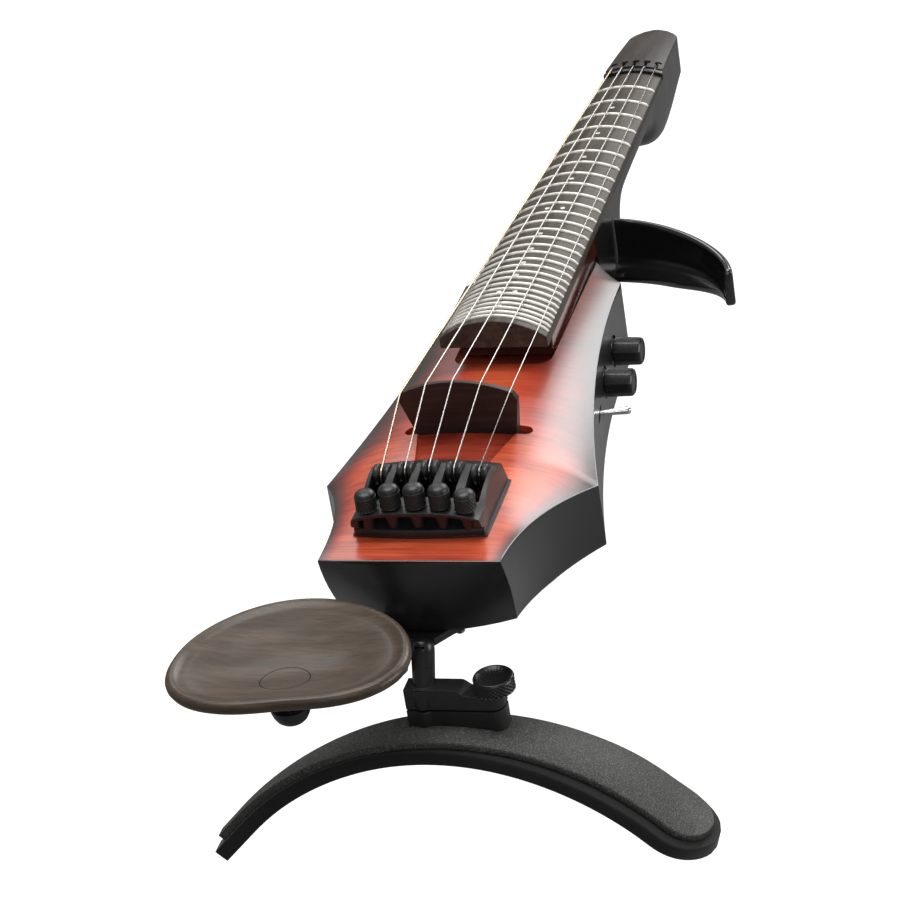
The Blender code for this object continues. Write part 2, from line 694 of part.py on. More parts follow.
def tuner_parts(metal, dark):
    for i in range(5):
        x = string_x(i, PITCH_ROLLER)
        centre = (x, ROLLER_Y, ROLLER_Z[i])
        solid(f"roller_{i + 1}", turned(roller_profile(), centre, "X", 12), dark, centre)
        seat = knob_seat(x)
        tall = lerp(*KNOB_HEIGHT, (KNOB_Z - seat) / KNOB_DROP)
        profile = [(24.6, 1.3), (seat, 1.3), (seat, 3.5), (seat + 0.4, KNOB_RADIUS),
                   (seat + 0.62 * tall, KNOB_RADIUS), (seat + 0.8 * tall, 3.5), (seat + 0.93 * tall, 2.3),
                   (seat + tall, 0.7)]
        solid(f"tuner_knob_{i + 1}", turned(profile, (x, KNOB_Y, 0.0), "Z", 12), dark, (x, KNOB_Y, seat))
        low, high = CARRIAGE_Z
        carriage = solid(f"carriage_{i + 1}", box(x - 3.0, x + 3.0, -65.6, -38.0, low, high), metal,
                         (x, KNOB_Y, low))
        combine(carriage, turned([(20.0, 1.6), (50.0, 1.6)], (x, KNOB_Y, 0.0), "Z", 10))


# ---------------------------------------------------------------- controls

def rotary_control(name, y, black, metal):
    wall = wall_x(y)
    centre = (wall, y, CONTROL_Z)
    r, length = CONTROL_KNOB_RADIUS, CONTROL_KNOB_LENGTH
    profile = [(-8.0, 1.6), (0.4, 1.6), (0.4, r - 0.5), (0.9, r), (length - 1.0, r - 0.3), (length, r - 1.1)]
    solid(f"{name}_knob", turned(profile, centre, "X", 20), black, centre)
    pot = solid(f"{name}_pot", turned([(-19.0, 8.0), (-7.4, 8.0), (-7.4, 3.7), (0.0, 3.7)], centre, "X", 16), metal)
    combine(pot, turned([(-9.0, 2.0), (5.0, 2.0)], centre, "X", 10))


def toggle(metal, black):
    wall = wall_x(TOGGLE_Y)
    pivot = (wall - 3.0, TOGGLE_Y, CONTROL_Z)
    body = solid("toggle_switch", box(wall - 18.0, wall - 7.4, TOGGLE_Y - 6.0, TOGGLE_Y + 6.0,
                                      CONTROL_Z - 4.0, CONTROL_Z + 4.0), metal)
    combine(body, turned([(-8.0, 3.0), (-0.6, 3.0)], (wall, TOGGLE_Y, CONTROL_Z), "X", 16), "UNION")
    combine(body, turned([(-4.6, 1.9), (-1.0, 2.6), (3.0, 2.6)], (wall, TOGGLE_Y, CONTROL_Z), "X", 12))
    lever = []
    for along, radius in ((-0.9, 0.9), (2.5, 0.95), (11.0, 1.35), (14.2, 1.5), (15.0, 1.0)):
        ring = []
        for i in range(10):
            a = 2 * math.pi * i / 10
            side, up = radius * math.cos(a), radius * math.sin(a)
            ring.append((pivot[0] + along * math.cos(TOGGLE_TILT) - side * math.sin(TOGGLE_TILT),
                         pivot[1] + along * math.sin(TOGGLE_TILT) + side * math.cos(TOGGLE_TILT),
                         pivot[2] + up))
        lever.append(ring)
    solid("toggle_lever", loft(lever), black, pivot)


def cavity_parts(black, metal, board_green):
    centre = (-wall_x(JACK_Y), JACK_Y, CONTROL_Z)
    jack = solid("output_jack", turned([(-0.6, 6.8), (0.9, 6.8), (0.9, 4.6), (24.0, 4.6)], centre, "X", 20), metal)
    combine(jack, turned([(-5.0, 3.2), (21.0, 3.2)], centre, "X", 12))
    solid("preamp_board", box(-8.0, 8.0, 68.0, 116.0, 21.0, 22.6), board_green)
    x0, x1, y0, y1 = BATTERY_BAY
    solid("battery", box(x0 + 1.2, x1 - 1.2, y0 + 1.5, y1 - 1.5, 3.2, 20.7), metal)
    cover = solid("back_cover", prism(cover_outline(GAP), 0.0, 2.2), black)
    for i, (x, y) in enumerate(COVER_SCREWS):
        combine(cover, turned([(-1.0, 2.1), (1.2, 2.1), (1.2, 1.3), (3.0, 1.3)], (x, y, 0.0), "Z", 10))
        screw = [(0.1, 1.8), (0.9, 1.8), (0.9, 1.0), (7.5, 1.0)]
        solid(f"cover_screw_{i + 1}", turned(screw, (x, y, 0.0), "Z", 10), metal)


# ---------------------------------------------------------------- upper bout arm

def arm_point(t):
    weights = ((1 - t) ** 3, 3 * t * (1 - t) ** 2, 3 * t * t * (1 - t), t ** 3)
    return [sum(w * p[k] for w, p in zip(weights, BOUT_PLAN)) for k in (0, 1)]


def upper_bout_arm(mat):
    """Curved arm standing on edge: a tall wall whose lower edge runs out to an inner lip."""
    rings = []
    steps = 14
    for i in range(steps + 1):
        t = i / steps
        x, y = arm_point(t)
        ax, ay = arm_point(min(t + 0.01, 1.0))
        bx, by = arm_point(max(t - 0.01, 0.0))
        length = math.hypot(ax - bx, ay - by)
        nx, ny = (ay - by) / length, -(ax - bx) / length
        low = lerp(12.0, 20.3, smooth(t))
        lip = lerp(13.0, 4.4, smooth((t - 0.45) / 0.55))
        wall, top = BOUT_WALL, BOUT_TOP
        mid = lerp(low, top, 0.42)
        section = [(0.0, top - 0.8), (0.8, top), (wall - 0.8, top), (wall, top - 0.8), (wall + 0.2, mid),
                   (lip * 0.82, low + 3.2), (lip, low + 1.0), (lip - 0.6, low), (0.6, low), (0.0, low + 0.8)]
        if i == 0:
            nx, ny = 0.0, -1.0
        rings.append([(x + nx * off, y + ny * off, z) for off, z in section])
    return solid("upper_bout_arm", loft(rings), mat)


# ---------------------------------------------------------------- chin rest

def dish_radius(angle, shrink=0.0):
    """Distance from the dish centre to its rim at an angle: an oval, fuller at two opposite corners."""
    a, b = DISH_HALF[0] - shrink, DISH_HALF[1] - shrink
    c, s = math.cos(angle - DISH_YAW), math.sin(angle - DISH_YAW)
    oval = 1.0 / (abs(c / a) ** DISH_POWER + abs(s / b) ** DISH_POWER) ** (1 / DISH_POWER)
    return oval * (1.0 + DISH_SKEW * math.cos(3.0 * (angle - DISH_SKEW_ANGLE)))


def dish_ring(shrink, z, sides=36):
    ring = []
    for i in range(sides):
        a = 2 * math.pi * i / sides
        r = dish_radius(a, shrink)
        ring.append((DISH_CENTRE[0] + r * math.cos(a), DISH_CENTRE[1] + r * math.sin(a), z))
    return ring


def chin_dish(mat):
    top, deep = DISH_RIM_Z, DISH_RIM_Z - DISH_DEPTH
    rings = [dish_ring(25.0, deep - 4.6), dish_ring(10.0, deep - 3.4), dish_ring(2.6, top - 5.6),
             dish_ring(0.0, top - 3.0), dish_ring(0.4, top - 0.9), dish_ring(2.0, top),
             dish_ring(4.0, top - 0.7), dish_ring(8.0, top - 2.4), dish_ring(16.0, top - 4.5),
             dish_ring(25.0, deep + 0.1)]
    dish = solid("chin_dish", loft(rings), mat, (CHIN_POST[0], CHIN_POST[1], DISH_RIM_Z))
    px, py = CHIN_POST
    combine(dish, turned([(18.4, PLUG_RADIUS), (30.0, PLUG_RADIUS)], (px, py, 0.0), "Z", 24))
    combine(dish, turned([(10.0, 2.4), (30.0, 2.4)], (px, py, 0.0), "Z", 10))
    return dish


def chin_rest(wood, black, metal):
    chin_dish(wood)
    px, py = CHIN_POST
    plug = [(18.7, PLUG_RADIUS - GAP), (20.6, PLUG_RADIUS - GAP)]
    solid("chin_plug", turned(plug, (px, py, 0.0), "Z", 24), wood, (px, py, DISH_RIM_Z))
    solid("chin_post", turned([(11.4, 4.6), (15.2, 4.6), (15.2, 2.0), (18.2, 2.0)], (px, py, 0.0), "Z", 14),
          metal, (px, py, 11.4))
    bx, by = CHIN_PIVOT
    length = math.hypot(px - bx, py - by)
    dx, dy = (px - bx) / length, (py - by) / length
    rings = []
    for along, half, low, high in ((-5.2, 2.4, -12.8, -4.2), (-3.4, 4.6, -12.8, -4.0), (0.0, 5.4, -12.8, -4.0),
                                   (10.0, 4.8, -11.5, -4.0), (length * 0.45, 5.0, -2.5, 5.5),
                                   (length - 8.0, 6.2, 4.4, 11.0), (length, 7.2, 4.9, 11.1),
                                   (length + 5.0, 5.4, 5.2, 11.1), (length + 7.2, 2.6, 6.2, 10.4)):
        cx, cy = bx + dx * along, by + dy * along
        ring = []
        for side, z in ((-1.0, low + 1.6), (-0.7, low), (0.7, low), (1.0, low + 1.6),
                        (1.0, high - 1.0), (0.8, high), (-0.8, high), (-1.0, high - 1.0)):
            ring.append((cx - dy * side * half, cy + dx * side * half, z))
        rings.append(ring)
    arm = solid("chin_arm", loft(rings), black, (bx, by, -8.0))
    combine(arm, turned([(-20.0, 2.3), (5.0, 2.3)], (bx, by, 0.0), "Z", 12))
    solid("chin_pivot_bolt", turned([(-15.6, 4.6), (-13.1, 4.6), (-13.1, 2.0), (-1.0, 2.0)],
                                    (bx, by, 0.0), "Z", 12), metal)


# ---------------------------------------------------------------- bracket and shoulder rest

def bracket(black, metal):
    """Plate under the tail with a round lug that enters the shoulder rest's arm from behind."""
    px, py, _ = ARM_PIVOT
    lug0, lug1 = px - 1.5, px + 1.5
    outline = [(-13.0, -28.0), (13.0, -28.0), (13.0, -60.0), (7.0, -67.7), (2.3, -74.6), (lug1, -74.8),
               (lug1, py), (lug0, py), (lug0, -74.8), (-9.6, -74.8), (-20.5, -77.5), (-20.5, -66.0),
               (-13.0, -56.0)]
    plate = solid("rest_bracket", prism(outline, -3.0, -GAP), black)
    combine(plate, turned([(-1.5, 3.0), (1.5, 3.0)], ARM_PIVOT, "X", 16), "UNION")
    combine(plate, turned([(-12.0, 1.5), (12.0, 1.5)], ARM_PIVOT, "X", 12))
    combine(plate, turned([(-12.0, 2.3), (5.0, 2.3)], (*CHIN_PIVOT, 0.0), "Z", 12))
    solid("arm_pivot_pin", turned([(-3.9, 1.2), (3.1, 1.2)], ARM_PIVOT, "X", 12), metal)
    for i, (x, y) in enumerate(((-8.0, -36.0), (8.4, -62.5))):
        combine(plate, turned([(-5.0, 1.5), (2.0, 1.5)], (x, y, 0.0), "Z", 10))
        solid(f"bracket_screw_{i + 1}", turned([(-5.0, 1.2), (-4.4, 1.9), (-3.3, 2.1), (-3.3, 1.2), (-0.5, 1.2)],
                                               (x, y, 0.0), "Z", 12), metal)


def jaw_outline():
    """Plan of both clamp jaws: straight on three sides, rounded towards the player at the right end."""
    (x0, x1), (y0, y1) = JAW_X, JAW_Y
    return [(x0, y0), (x1 - 3.6, y0), (x1 - 1.4, y0 + 0.9), (x1 - 0.3, y0 + 2.6), (x1, y0 + 4.8), (x1, y1),
            (x0, y1)]


def rest_arm(black):
    """Round leaning arm, hollowed behind its top for the lug, with the clamp's fixed jaw at its foot."""
    top, foot = Vector(ARM_PIVOT), Vector(ARM_FOOT)
    axis = (foot - top).normalized()
    at_top, at_foot = ARM_RADII
    path = [top - axis * 4.6, top - axis * 3.9, top - axis * 2.4, top, foot, foot + axis * 0.3]
    radii = [0.4 * at_top, 0.74 * at_top, 0.94 * at_top, at_top, at_foot, at_foot]
    arm = solid("rest_arm", tube(path, radii, 16), black, ARM_PIVOT)
    low, step, high = UPPER_JAW_Z
    y0, y1 = JAW_Y
    combine(arm, prism(jaw_outline(), low, high), "UNION")
    relief = [(12.8, high + 1.0), (12.8, high), (16.5, step), (40.0, step), (40.0, high + 1.0)]
    combine(arm, loft([[(x, y, z) for x, z in relief] for y in (y0 - 2.0, y1 + 2.0)]))
    combine(arm, box(-10.0, 12.0, -100.0, -70.0, -30.0, low))
    px, py, pz = ARM_PIVOT
    combine(arm, box(px - 1.8, px + 1.8, py - 3.3, py + 8.0, pz - 3.7, pz + 3.3))
    combine(arm, turned([(-8.0, 1.5), (3.4, 1.5)], ARM_PIVOT, "X", 12))
    combine(arm, turned([(-40.0, 1.9), (0.0, 1.9)], (*THUMB, 0.0), "Z", 12))
    return arm


def rest_bar(black, speckled, foam):
    (x0, x1), (y0, y1) = JAW_X, JAW_Y
    jaw = solid("clamp_jaw", prism(jaw_outline(), -33.0, LOWER_JAW_TOP), black, (*THUMB, LOWER_JAW_TOP))
    below = [(x1 + 2.0, -40.0), (x0 - 2.0, -40.0)]
    for x in (x0 - 2.0, -3.0, REST_CREST[0], 12.0, 20.0, x1 + 2.0):
        drop = REST_RADIUS - math.sqrt(REST_RADIUS ** 2 - (x - REST_CREST[0]) ** 2)
        below.append((x, REST_CREST[1] + GAP + 0.1 - drop))
    combine(jaw, loft([[(x, y, z) for x, z in below] for y in (y0 - 2.0, y1 + 2.0)]))
    combine(jaw, turned([(-25.6, 1.9), (0.0, 1.9)], (*THUMB, 0.0), "Z", 12))
    curve = rest_curve()
    specs = (("rest_plate", 0.0, -PLATE_THICK, 0.0, 1, speckled),
             ("rest_foam", -PLATE_THICK - GAP, -PLATE_THICK - GAP - FOAM_THICK, 3.5, 0, foam))
    for name, upper, lower, border, trim, mat in specs:
        used = curve[trim:len(curve) - trim]
        run = [0.0]
        for a, b in zip(used, used[1:]):
            run.append(run[-1] + math.hypot(b[0] - a[0], b[1] - a[1]))
        rings = []
        for distance, (x, z, tilt) in zip(run, used):
            share = distance / run[-1]
            grow = border * smooth(2.0 * share - 0.7) + 0.3 * border
            front = lerp(*REST_FRONT, smooth(share)) - grow
            back = lerp(*REST_BACK, smooth(share)) - REST_TAPER * (1.0 - smooth(2.2 * share)) + grow
            middle, half = (front + back) / 2, (back - front) / 2
            left = run[-1] - distance
            if left < half:
                half *= math.sqrt(max(1.0 - (1.0 - left / half) ** 2, 0.05))
            nx, nz = -math.sin(tilt), math.cos(tilt)
            rings.append([(x + nx * h, middle + side * half, z + nz * h)
                          for side, h in ((-1.0, upper - 0.5), (-0.94, upper), (0.94, upper), (1.0, upper - 0.5),
                                          (1.0, lower + 0.6), (0.92, lower), (-0.92, lower), (-1.0, lower + 0.6))])
        solid(name, loft(rings), mat, (*THUMB, REST_CREST[1]))


def thumb_screw(mat):
    foot = UPPER_JAW_Z[1] + GAP
    profile = [(-25.0, 1.6), (foot, 1.6), (foot, 7.0), (foot + 0.5, 7.5), (-8.8, 7.5), (-8.2, 7.1), (-8.2, 6.1),
               (-9.4, 4.4)]
    solid("thumb_screw", turned(profile, (*THUMB, 0.0), "Z", 20), mat, (*THUMB, foot))


# ---------------------------------------------------------------- assembly

def main():
    for obj in list(bpy.data.objects):
        bpy.data.objects.remove(obj, do_unlink=True)
    gloss_black = material("gloss_black_lacquer", (0.012, 0.012, 0.013), 0.12)
    sunburst = material("sunburst_maple", (0.42, 0.07, 0.02), 0.15)
    ebony = material("ebony", (0.035, 0.026, 0.022), 0.45)
    nickel = material("nickel_silver", (0.75, 0.73, 0.70), 0.25, 1.0)
    steel = material("string_steel", (0.70, 0.70, 0.71), 0.28, 1.0)
    anodised = material("black_anodised", (0.02, 0.02, 0.021), 0.42, 0.6)
    plastic = material("black_plastic", (0.018, 0.018, 0.018), 0.38)
    chrome = material("chrome", (0.85, 0.85, 0.86), 0.08, 1.0)
    dish_wood = material("chin_rest_ebony", (0.11, 0.075, 0.055), 0.35)
    rubber = material("speckled_rubber", (0.05, 0.05, 0.05), 0.8)
    foam = material("black_foam", (0.012, 0.012, 0.012), 0.9)
    board_green = material("circuit_board", (0.02, 0.16, 0.06), 0.5)

    body_back(gloss_black)
    top_plate(sunburst)
    neck(gloss_black)
    fingerboard(ebony)
    fret_set(nickel)
    nut(anodised)
    head_plate(ebony)
    bridge(ebony)
    solid("bridge_pickup", box(-18.5, 18.5, 6.6, 11.4, 30.0, 33.6), anodised)
    for i, diameter in enumerate(STRING_DIAMETERS):
        path = string_path(i)
        solid(f"string_{i + 1}", tube(path, [diameter / 2] * len(path), 6), steel)
    tuner_frame(anodised)
    tuner_parts(steel, anodised)
    rotary_control("volume", VOLUME_Y, plastic, steel)
    rotary_control("tone", TONE_Y, plastic, steel)
    toggle(chrome, chrome)
    cavity_parts(plastic, steel, board_green)
    upper_bout_arm(gloss_black)
    chin_rest(dish_wood, anodised, steel)
    bracket(anodised, steel)
    rest_arm(anodised)
    rest_bar(anodised, rubber, foam)
    thumb_screw(anodised)
    for obj in bpy.data.objects:
        obj.data.shade_smooth()
        obj.data.set_sharp_from_angle(angle=math.radians(32.0))


main()
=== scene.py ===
"""Looks for the headless electric violin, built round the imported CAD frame.

Sizes are millimetres unless noted. Every piece of the violin rides on a body of the frame.
"""

import math

import bmesh
import bpy
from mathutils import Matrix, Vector


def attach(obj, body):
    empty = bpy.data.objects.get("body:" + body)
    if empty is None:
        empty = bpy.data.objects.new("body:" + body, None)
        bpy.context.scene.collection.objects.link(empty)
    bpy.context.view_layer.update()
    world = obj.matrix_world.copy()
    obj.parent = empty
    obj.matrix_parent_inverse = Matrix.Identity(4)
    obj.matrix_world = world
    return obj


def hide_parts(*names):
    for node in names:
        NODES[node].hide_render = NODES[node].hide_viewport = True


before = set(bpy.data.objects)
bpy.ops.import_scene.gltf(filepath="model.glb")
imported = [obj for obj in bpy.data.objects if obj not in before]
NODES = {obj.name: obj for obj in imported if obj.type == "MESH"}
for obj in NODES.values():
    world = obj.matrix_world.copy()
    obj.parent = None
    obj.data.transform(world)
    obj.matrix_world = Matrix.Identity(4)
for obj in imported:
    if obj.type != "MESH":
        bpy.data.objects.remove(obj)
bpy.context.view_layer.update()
MM = 0.001

# driving sizes: the CAD part's, with slimmer strings and finer steps along the sides
# a pair is (board end, nut) on the board, (left, right) on the shoulder rest and (x, y) elsewhere
SCALE = 325.0
FRETS = 29
STRING_D = (0.86, 0.74, 0.62, 0.58, 0.38)
PITCH_BRIDGE, PITCH_ROLLER, PITCH_NUT = 10.456, 9.15, 5.144
Z_BRIDGE, Z_NUT, STRING_R = 64.3, 48.7, 42.0
# corners of the body's right half, with the pull of the curve between each two
TAIL, LOWER, UPPER, NECK = (33.5, -80.5), (52.3, -10.3), (32.5, 133.6), (15.6, 160.3)
PULL_LOW, PULL_WAIST, PULL_CUT = (34.2, -41.8), (31.8, 63.2), (20.6, 146.0)
TAIL_BACK, TAIL_BACK_MID, TAIL_SHIFT, PULL_LOW_BACK = (31.7, -61.5), -70.5, -1.6, (33.6, -36.0)
SIDE_STEPS = (26, 46, 18)
TOP_EDGE, CROWN, DROP = 36.0, 3.0, 10.4
BOARD_START, BOARD_HALF = 56.0, (21.5, 13.3)
BOARD_CROWN, BOARD_FLOOR, BOARD_R = (59.5, 46.6), (48.0, 42.3), 36.0
ROLLER_Y, ROLLER_Z, WRAP = -40.0, (47.7, 48.8, 49.5, 48.8, 47.7), 2.9
KNOB_Y, KNOB_Z = -62.8, 48.0
CONTROL_Z, VOLUME_Y, TONE_Y, TOGGLE_Y = 18.5, 108.0, 82.0, 56.0
HEAD_START, HEAD_END, HEAD_BULGE, HEAD_FLOOR = 329.0, 373.5, 7.5, (46.0, 41.6)
# (y, half width) along the head block, then (share of the bulge, half width) over its rounded end
HEAD_PLAN = ((338.0, 12.8), (350.0, 12.3), (362.0, 11.7), (HEAD_END, 11.2))
HEAD_TIP = ((0.12, 10.7), (0.45, 8.9), (0.8, 5.4), (1.0, 1.2))
BRIDGE_SLOT = (24.8, 6.0, 12.2)

# thumb screw, clamp, rest arm, shoulder rest, chin rest and upper bout arm
THUMB = (25.6, -85.3)
JAW_X, JAW_Y = (-7.1, 28.6), (-90.0, -82.0)
ARM_PIVOT, ARM_FOOT = (-0.6, -80.0, -1.5), (-0.9, -87.5, -20.8)
FOOT_POST = (ARM_FOOT[0], -87.3, 0.0)
REST_CREST, REST_RADIUS, REST_SWEEP = (4.7, -27.0), 111.5, (math.radians(-45.8), math.radians(45.0))
REST_RUN, REST_TIP_RADIUS, REST_TIP_TURN = 19.1, 43.0, math.radians(28.0)
REST_FRONT, REST_BACK, REST_TAPER = (-101.5, -99.5), (-88.5, -72.6), 8.0
CHIN_POST, CHIN_PIVOT = (-32.0, -134.0), (-15.0, -72.0)
DISH_CENTRE, DISH_HALF, DISH_YAW = (-33.0, -123.3), (42.2, 33.4), math.radians(8.8)
DISH_POWER, DISH_LOBE, DISH_LOBE_TURN = 2.25, 0.06, math.radians(19.4)
DISH_TOP, DISH_DEEP = 26.0, 20.5
BOUT_PLAN = ((17.6, 194.5), (42.0, 192.0), (71.0, 166.0), (76.5, 143.0))
BOUT_TOP, BOUT_WALL = 36.4, 3.3

# floor, camera and lights: metres, degrees and watts; a light is name, place, target, size and power
FLOOR_Z, FLOOR_HALF = -0.112, 6.0
CAMERA_PLACE, CAMERA_TURN, CAMERA_LENS = (0.33190, -0.99079, 0.59760), (61.405, 8.3436, 14.2767), 128.0
LIGHTS = (("key_back_right", (0.65, 2.0, 1.25), (0.05, 0.05, 0.03), (1.5, 1.0), 26.0),
          ("overhead", (-0.1, 0.1, 1.6), (0.0, 0.0, 0.0), (1.2, 1.2), 24.0),
          ("front_low", (0.5, -1.7, 0.9), (0.0, -0.1, 0.0), (1.0, 0.5), 3.0),
          ("side_right", (1.7, 0.1, 0.35), (0.0, 0.1, 0.0), (1.0, 0.8), 11.0),
          ("veil_back_left", (-0.75, 1.7, 1.25), (0.0, -0.05, 0.0), (0.7, 0.45), 3.0))

# the record's slot for each material that is not named after its slot
SLOT_OF = {"sunburst_maple_lacquer": "sunburst_maple", "dark_red_stain": "sunburst_maple",
           "body_lacquer": "gloss_black_lacquer", "neck_lacquer": "gloss_black_lacquer",
           "ebony_board": "ebony", "ebony_head": "ebony", "ebony_bridge": "ebony",
           "chin_rest_wood": "chin_rest_ebony", "pearl_dot": "nickel_silver",
           "black_anodised_satin": "black_anodised", "string_wound_gold": "string_steel",
           "string_wound_silver": "string_steel", "string_wound_pale": "string_steel",
           "string_plain": "string_steel"}


# ---- maths

def lerp(a, b, t):
    return a + (b - a) * t


def smooth(t):
    t = min(max(t, 0.0), 1.0)
    return t * t * (3.0 - 2.0 * t)


def bezier(p0, pull, p1, t):
    return tuple((1 - t) ** 2 * a + 2 * t * (1 - t) * c + t * t * b for a, c, b in zip(p0, pull, p1))


def side_spans(tail=TAIL, pull_low=PULL_LOW):
    return (tail, pull_low, LOWER), (LOWER, PULL_WAIST, UPPER), (UPPER, PULL_CUT, NECK)


def side_line(tail=TAIL, pull_low=PULL_LOW):
    """Right side of the body's outline, from the tail to the neck."""
    line = [tail]
    for span, n in zip(side_spans(tail, pull_low), SIDE_STEPS):
        line += [bezier(*span, (i + 1) / n) for i in range(n)]
    return line


def wall_x(y):
    """Half width of the body at a given y."""
    span = side_spans()[0 if y < LOWER[1] else 1 if y < UPPER[1] else 2]
    low, high = 0.0, 1.0
    for _ in range(30):
        t = (low + high) / 2
        low, high = (t, high) if bezier(*span, t)[1] < y else (low, t)
    return bezier(*span, low)[0]


def crown_z(y):
    return TOP_EDGE + CROWN * smooth((y - TAIL[1]) / 75.0)


def edge_z(y):
    if y < LOWER[1]:
        return TOP_EDGE - DROP * ((y - TAIL[1]) / (LOWER[1] - TAIL[1])) ** 1.6
    return TOP_EDGE - DROP * max(1 - (y - LOWER[1]) / (UPPER[1] - LOWER[1]), 0.0) ** 1.8


def top_z(y, u):
    return lerp(crown_z(y), edge_z(y), abs(u) ** 3.2)


def board_value(pair, y):
    return lerp(pair[0], pair[1], (y - BOARD_START) / (SCALE - BOARD_START))


def board_top(x, y):
    return board_value(BOARD_CROWN, y) - BOARD_R + math.sqrt(BOARD_R ** 2 - x * x)


def fret_y(n):
    return SCALE * 2 ** (-n / 12)


def head_top(y):
    """Top of the head block, where its plate sits."""
    return lerp(*HEAD_FLOOR, (y - HEAD_START) / (HEAD_END - HEAD_START))


def string_x(i, pitch):
    """Place of string i across the instrument; the third of the five is on the centre line."""
    return (i - 2) * pitch


def string_z(x, height):
    return height - x * x / (2 * STRING_R)


# ---- mesh tools

def piece(name, geometry, mat, body, replaces=(), sharp=35.0, hard=False):
    """A new piece in the row frame. It rides on a CAD body, unless it is a cutter and has none."""
    points, faces = geometry
    bm = bmesh.new()
    verts = [bm.verts.new((p[0] * MM, p[1] * MM, p[2] * MM)) for p in points]
    for face in faces:
        bm.faces.new([verts[i] for i in face])
    bm.normal_update()
    if hard:
        bmesh.ops.triangulate(bm, faces=bm.faces)
    bmesh.ops.recalc_face_normals(bm, faces=bm.faces)
    mesh = bpy.data.meshes.new(name)
    bm.to_mesh(mesh)
    bm.free()
    obj = bpy.data.objects.new(name, mesh)
    bpy.context.scene.collection.objects.link(obj)
    mesh.materials.append(mat)
    mesh.shade_smooth()
    mesh.set_sharp_from_angle(angle=math.radians(sharp))
    if body:
        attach(obj, body)
    if replaces:
        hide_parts(*replaces)
    return obj


def apply_modifiers(obj):
    bpy.context.view_layer.update()
    graph = bpy.context.evaluated_depsgraph_get()
    mesh = bpy.data.meshes.new_from_object(obj.evaluated_get(graph))
    obj.modifiers.clear()
    obj.data = mesh
    return obj


def cut(obj, geometries, operation="DIFFERENCE"):
    """Boolean closed shapes out of a piece, or onto it, one after another."""
    for geometry in geometries:
        tool = piece("tool", geometry, obj.data.materials[0], None, hard=True)
        step = obj.modifiers.new("cut", "BOOLEAN")
        step.solver = "EXACT"
        step.operation = operation
        step.object = tool
        apply_modifiers(obj)
        bpy.data.objects.remove(tool, do_unlink=True)
    obj.data.shade_smooth()
    obj.data.set_sharp_from_angle(angle=math.radians(35.0))
    return obj


def bevel(obj, width, segments=3, angle=35.0):
    mod = obj.modifiers.new("edges", "BEVEL")
    mod.width = width * MM
    mod.segments = segments
    mod.limit_method = "ANGLE"
    mod.angle_limit = math.radians(angle)
    mod.harden_normals = True
    return obj


def loft(rings):
    """Closed solid through rings that all have the same number of points."""
    n, last = len(rings[0]), (len(rings) - 1) * len(rings[0])
    points = [p for ring in rings for p in ring]
    faces = [(r * n + i, r * n + (i + 1) % n, (r + 1) * n + (i + 1) % n, (r + 1) * n + i)
             for r in range(len(rings) - 1) for i in range(n)]
    faces += [tuple(range(n - 1, -1, -1)), tuple(range(last, last + n))]
    return points, faces


def box(x0, x1, y0, y1, z0, z1):
    return loft([[(x, y, z) for x, y in ((x0, y0), (x1, y0), (x1, y1), (x0, y1))] for z in (z0, z1)])


def prism(outline, z0, z1):
    return loft([[(x, y, z) for x, y in outline] for z in (z0, z1)])


def lathe(profile, centre, axis="Z", sides=48, shape=None):
    """Turned solid. shape(angle, along, radius) can change the radius, for flutes and knurls."""
    cx, cy, cz = centre
    rings = []
    for along, radius in profile:
        ring = []
        for i in range(sides):
            a = 2 * math.pi * i / sides
            r = shape(a, along, radius) if shape else radius
            u, v = r * math.cos(a), r * math.sin(a)
            ring.append({"X": (cx + along, cy + u, cz + v), "Y": (cx + u, cy + along, cz + v),
                         "Z": (cx + u, cy + v, cz + along)}[axis])
        rings.append(ring)
    return loft(rings)


def tube(path, radius, sides=16):
    pts = [Vector(p) for p in path]
    side, rings = None, []
    for i, p in enumerate(pts):
        ahead = (pts[min(i + 1, len(pts) - 1)] - pts[max(i - 1, 0)]).normalized()
        ref = side if side is not None else Vector((1.0, 0.0, 0.0))
        side = (ref - ahead * ref.dot(ahead)).normalized()
        up = ahead.cross(side)
        r = radius(i) if callable(radius) else radius
        rings.append([tuple(p + side * (r * math.cos(2 * math.pi * k / sides))
                            + up * (r * math.sin(2 * math.pi * k / sides))) for k in range(sides)])
    return loft(rings)


def stadium(half, y0, y1, steps=14):
    r, mid = (y1 - y0) / 2, (y0 + y1) / 2
    return [(s * (half - r + r * math.cos(math.pi * (i / steps - 0.5))),
             mid + s * r * math.sin(math.pi * (i / steps - 0.5))) for s in (1, -1) for i in range(steps + 1)]


def crowned_ring(y, half, floor, top, cols):
    """Flat-bottomed section across the instrument; its upper edge follows top(x)."""
    arc = [half * (1 - 2 * i / cols) for i in range(cols + 1)]
    return [(-half, y, floor), (half, y, floor)] + [(x, y, top(x)) for x in arc]


def shaft_bores(z0, z1, radius):
    """Cutters for the five knob shafts."""
    return [lathe([(z0, radius), (z1, radius)], (string_x(i, PITCH_ROLLER), KNOB_Y, 0.0), "Z", 16)
            for i in range(5)]


def round_rect(x0, x1, y0, y1, radius, steps=8):
    out = []
    for cx, cy, start in ((x1 - radius, y0 + radius, -90), (x1 - radius, y1 - radius, 0),
                          (x0 + radius, y1 - radius, 90), (x0 + radius, y0 + radius, 180)):
        out += [(cx + radius * math.cos(math.radians(start + 90 * i / steps)),
                 cy + radius * math.sin(math.radians(start + 90 * i / steps))) for i in range(steps + 1)]
    return out


def merge(*geometries):
    points, faces = [], []
    for p, f in geometries:
        base = len(points)
        points += p
        faces += [tuple(i + base for i in face) for face in f]
    return points, faces


# ---- material tools

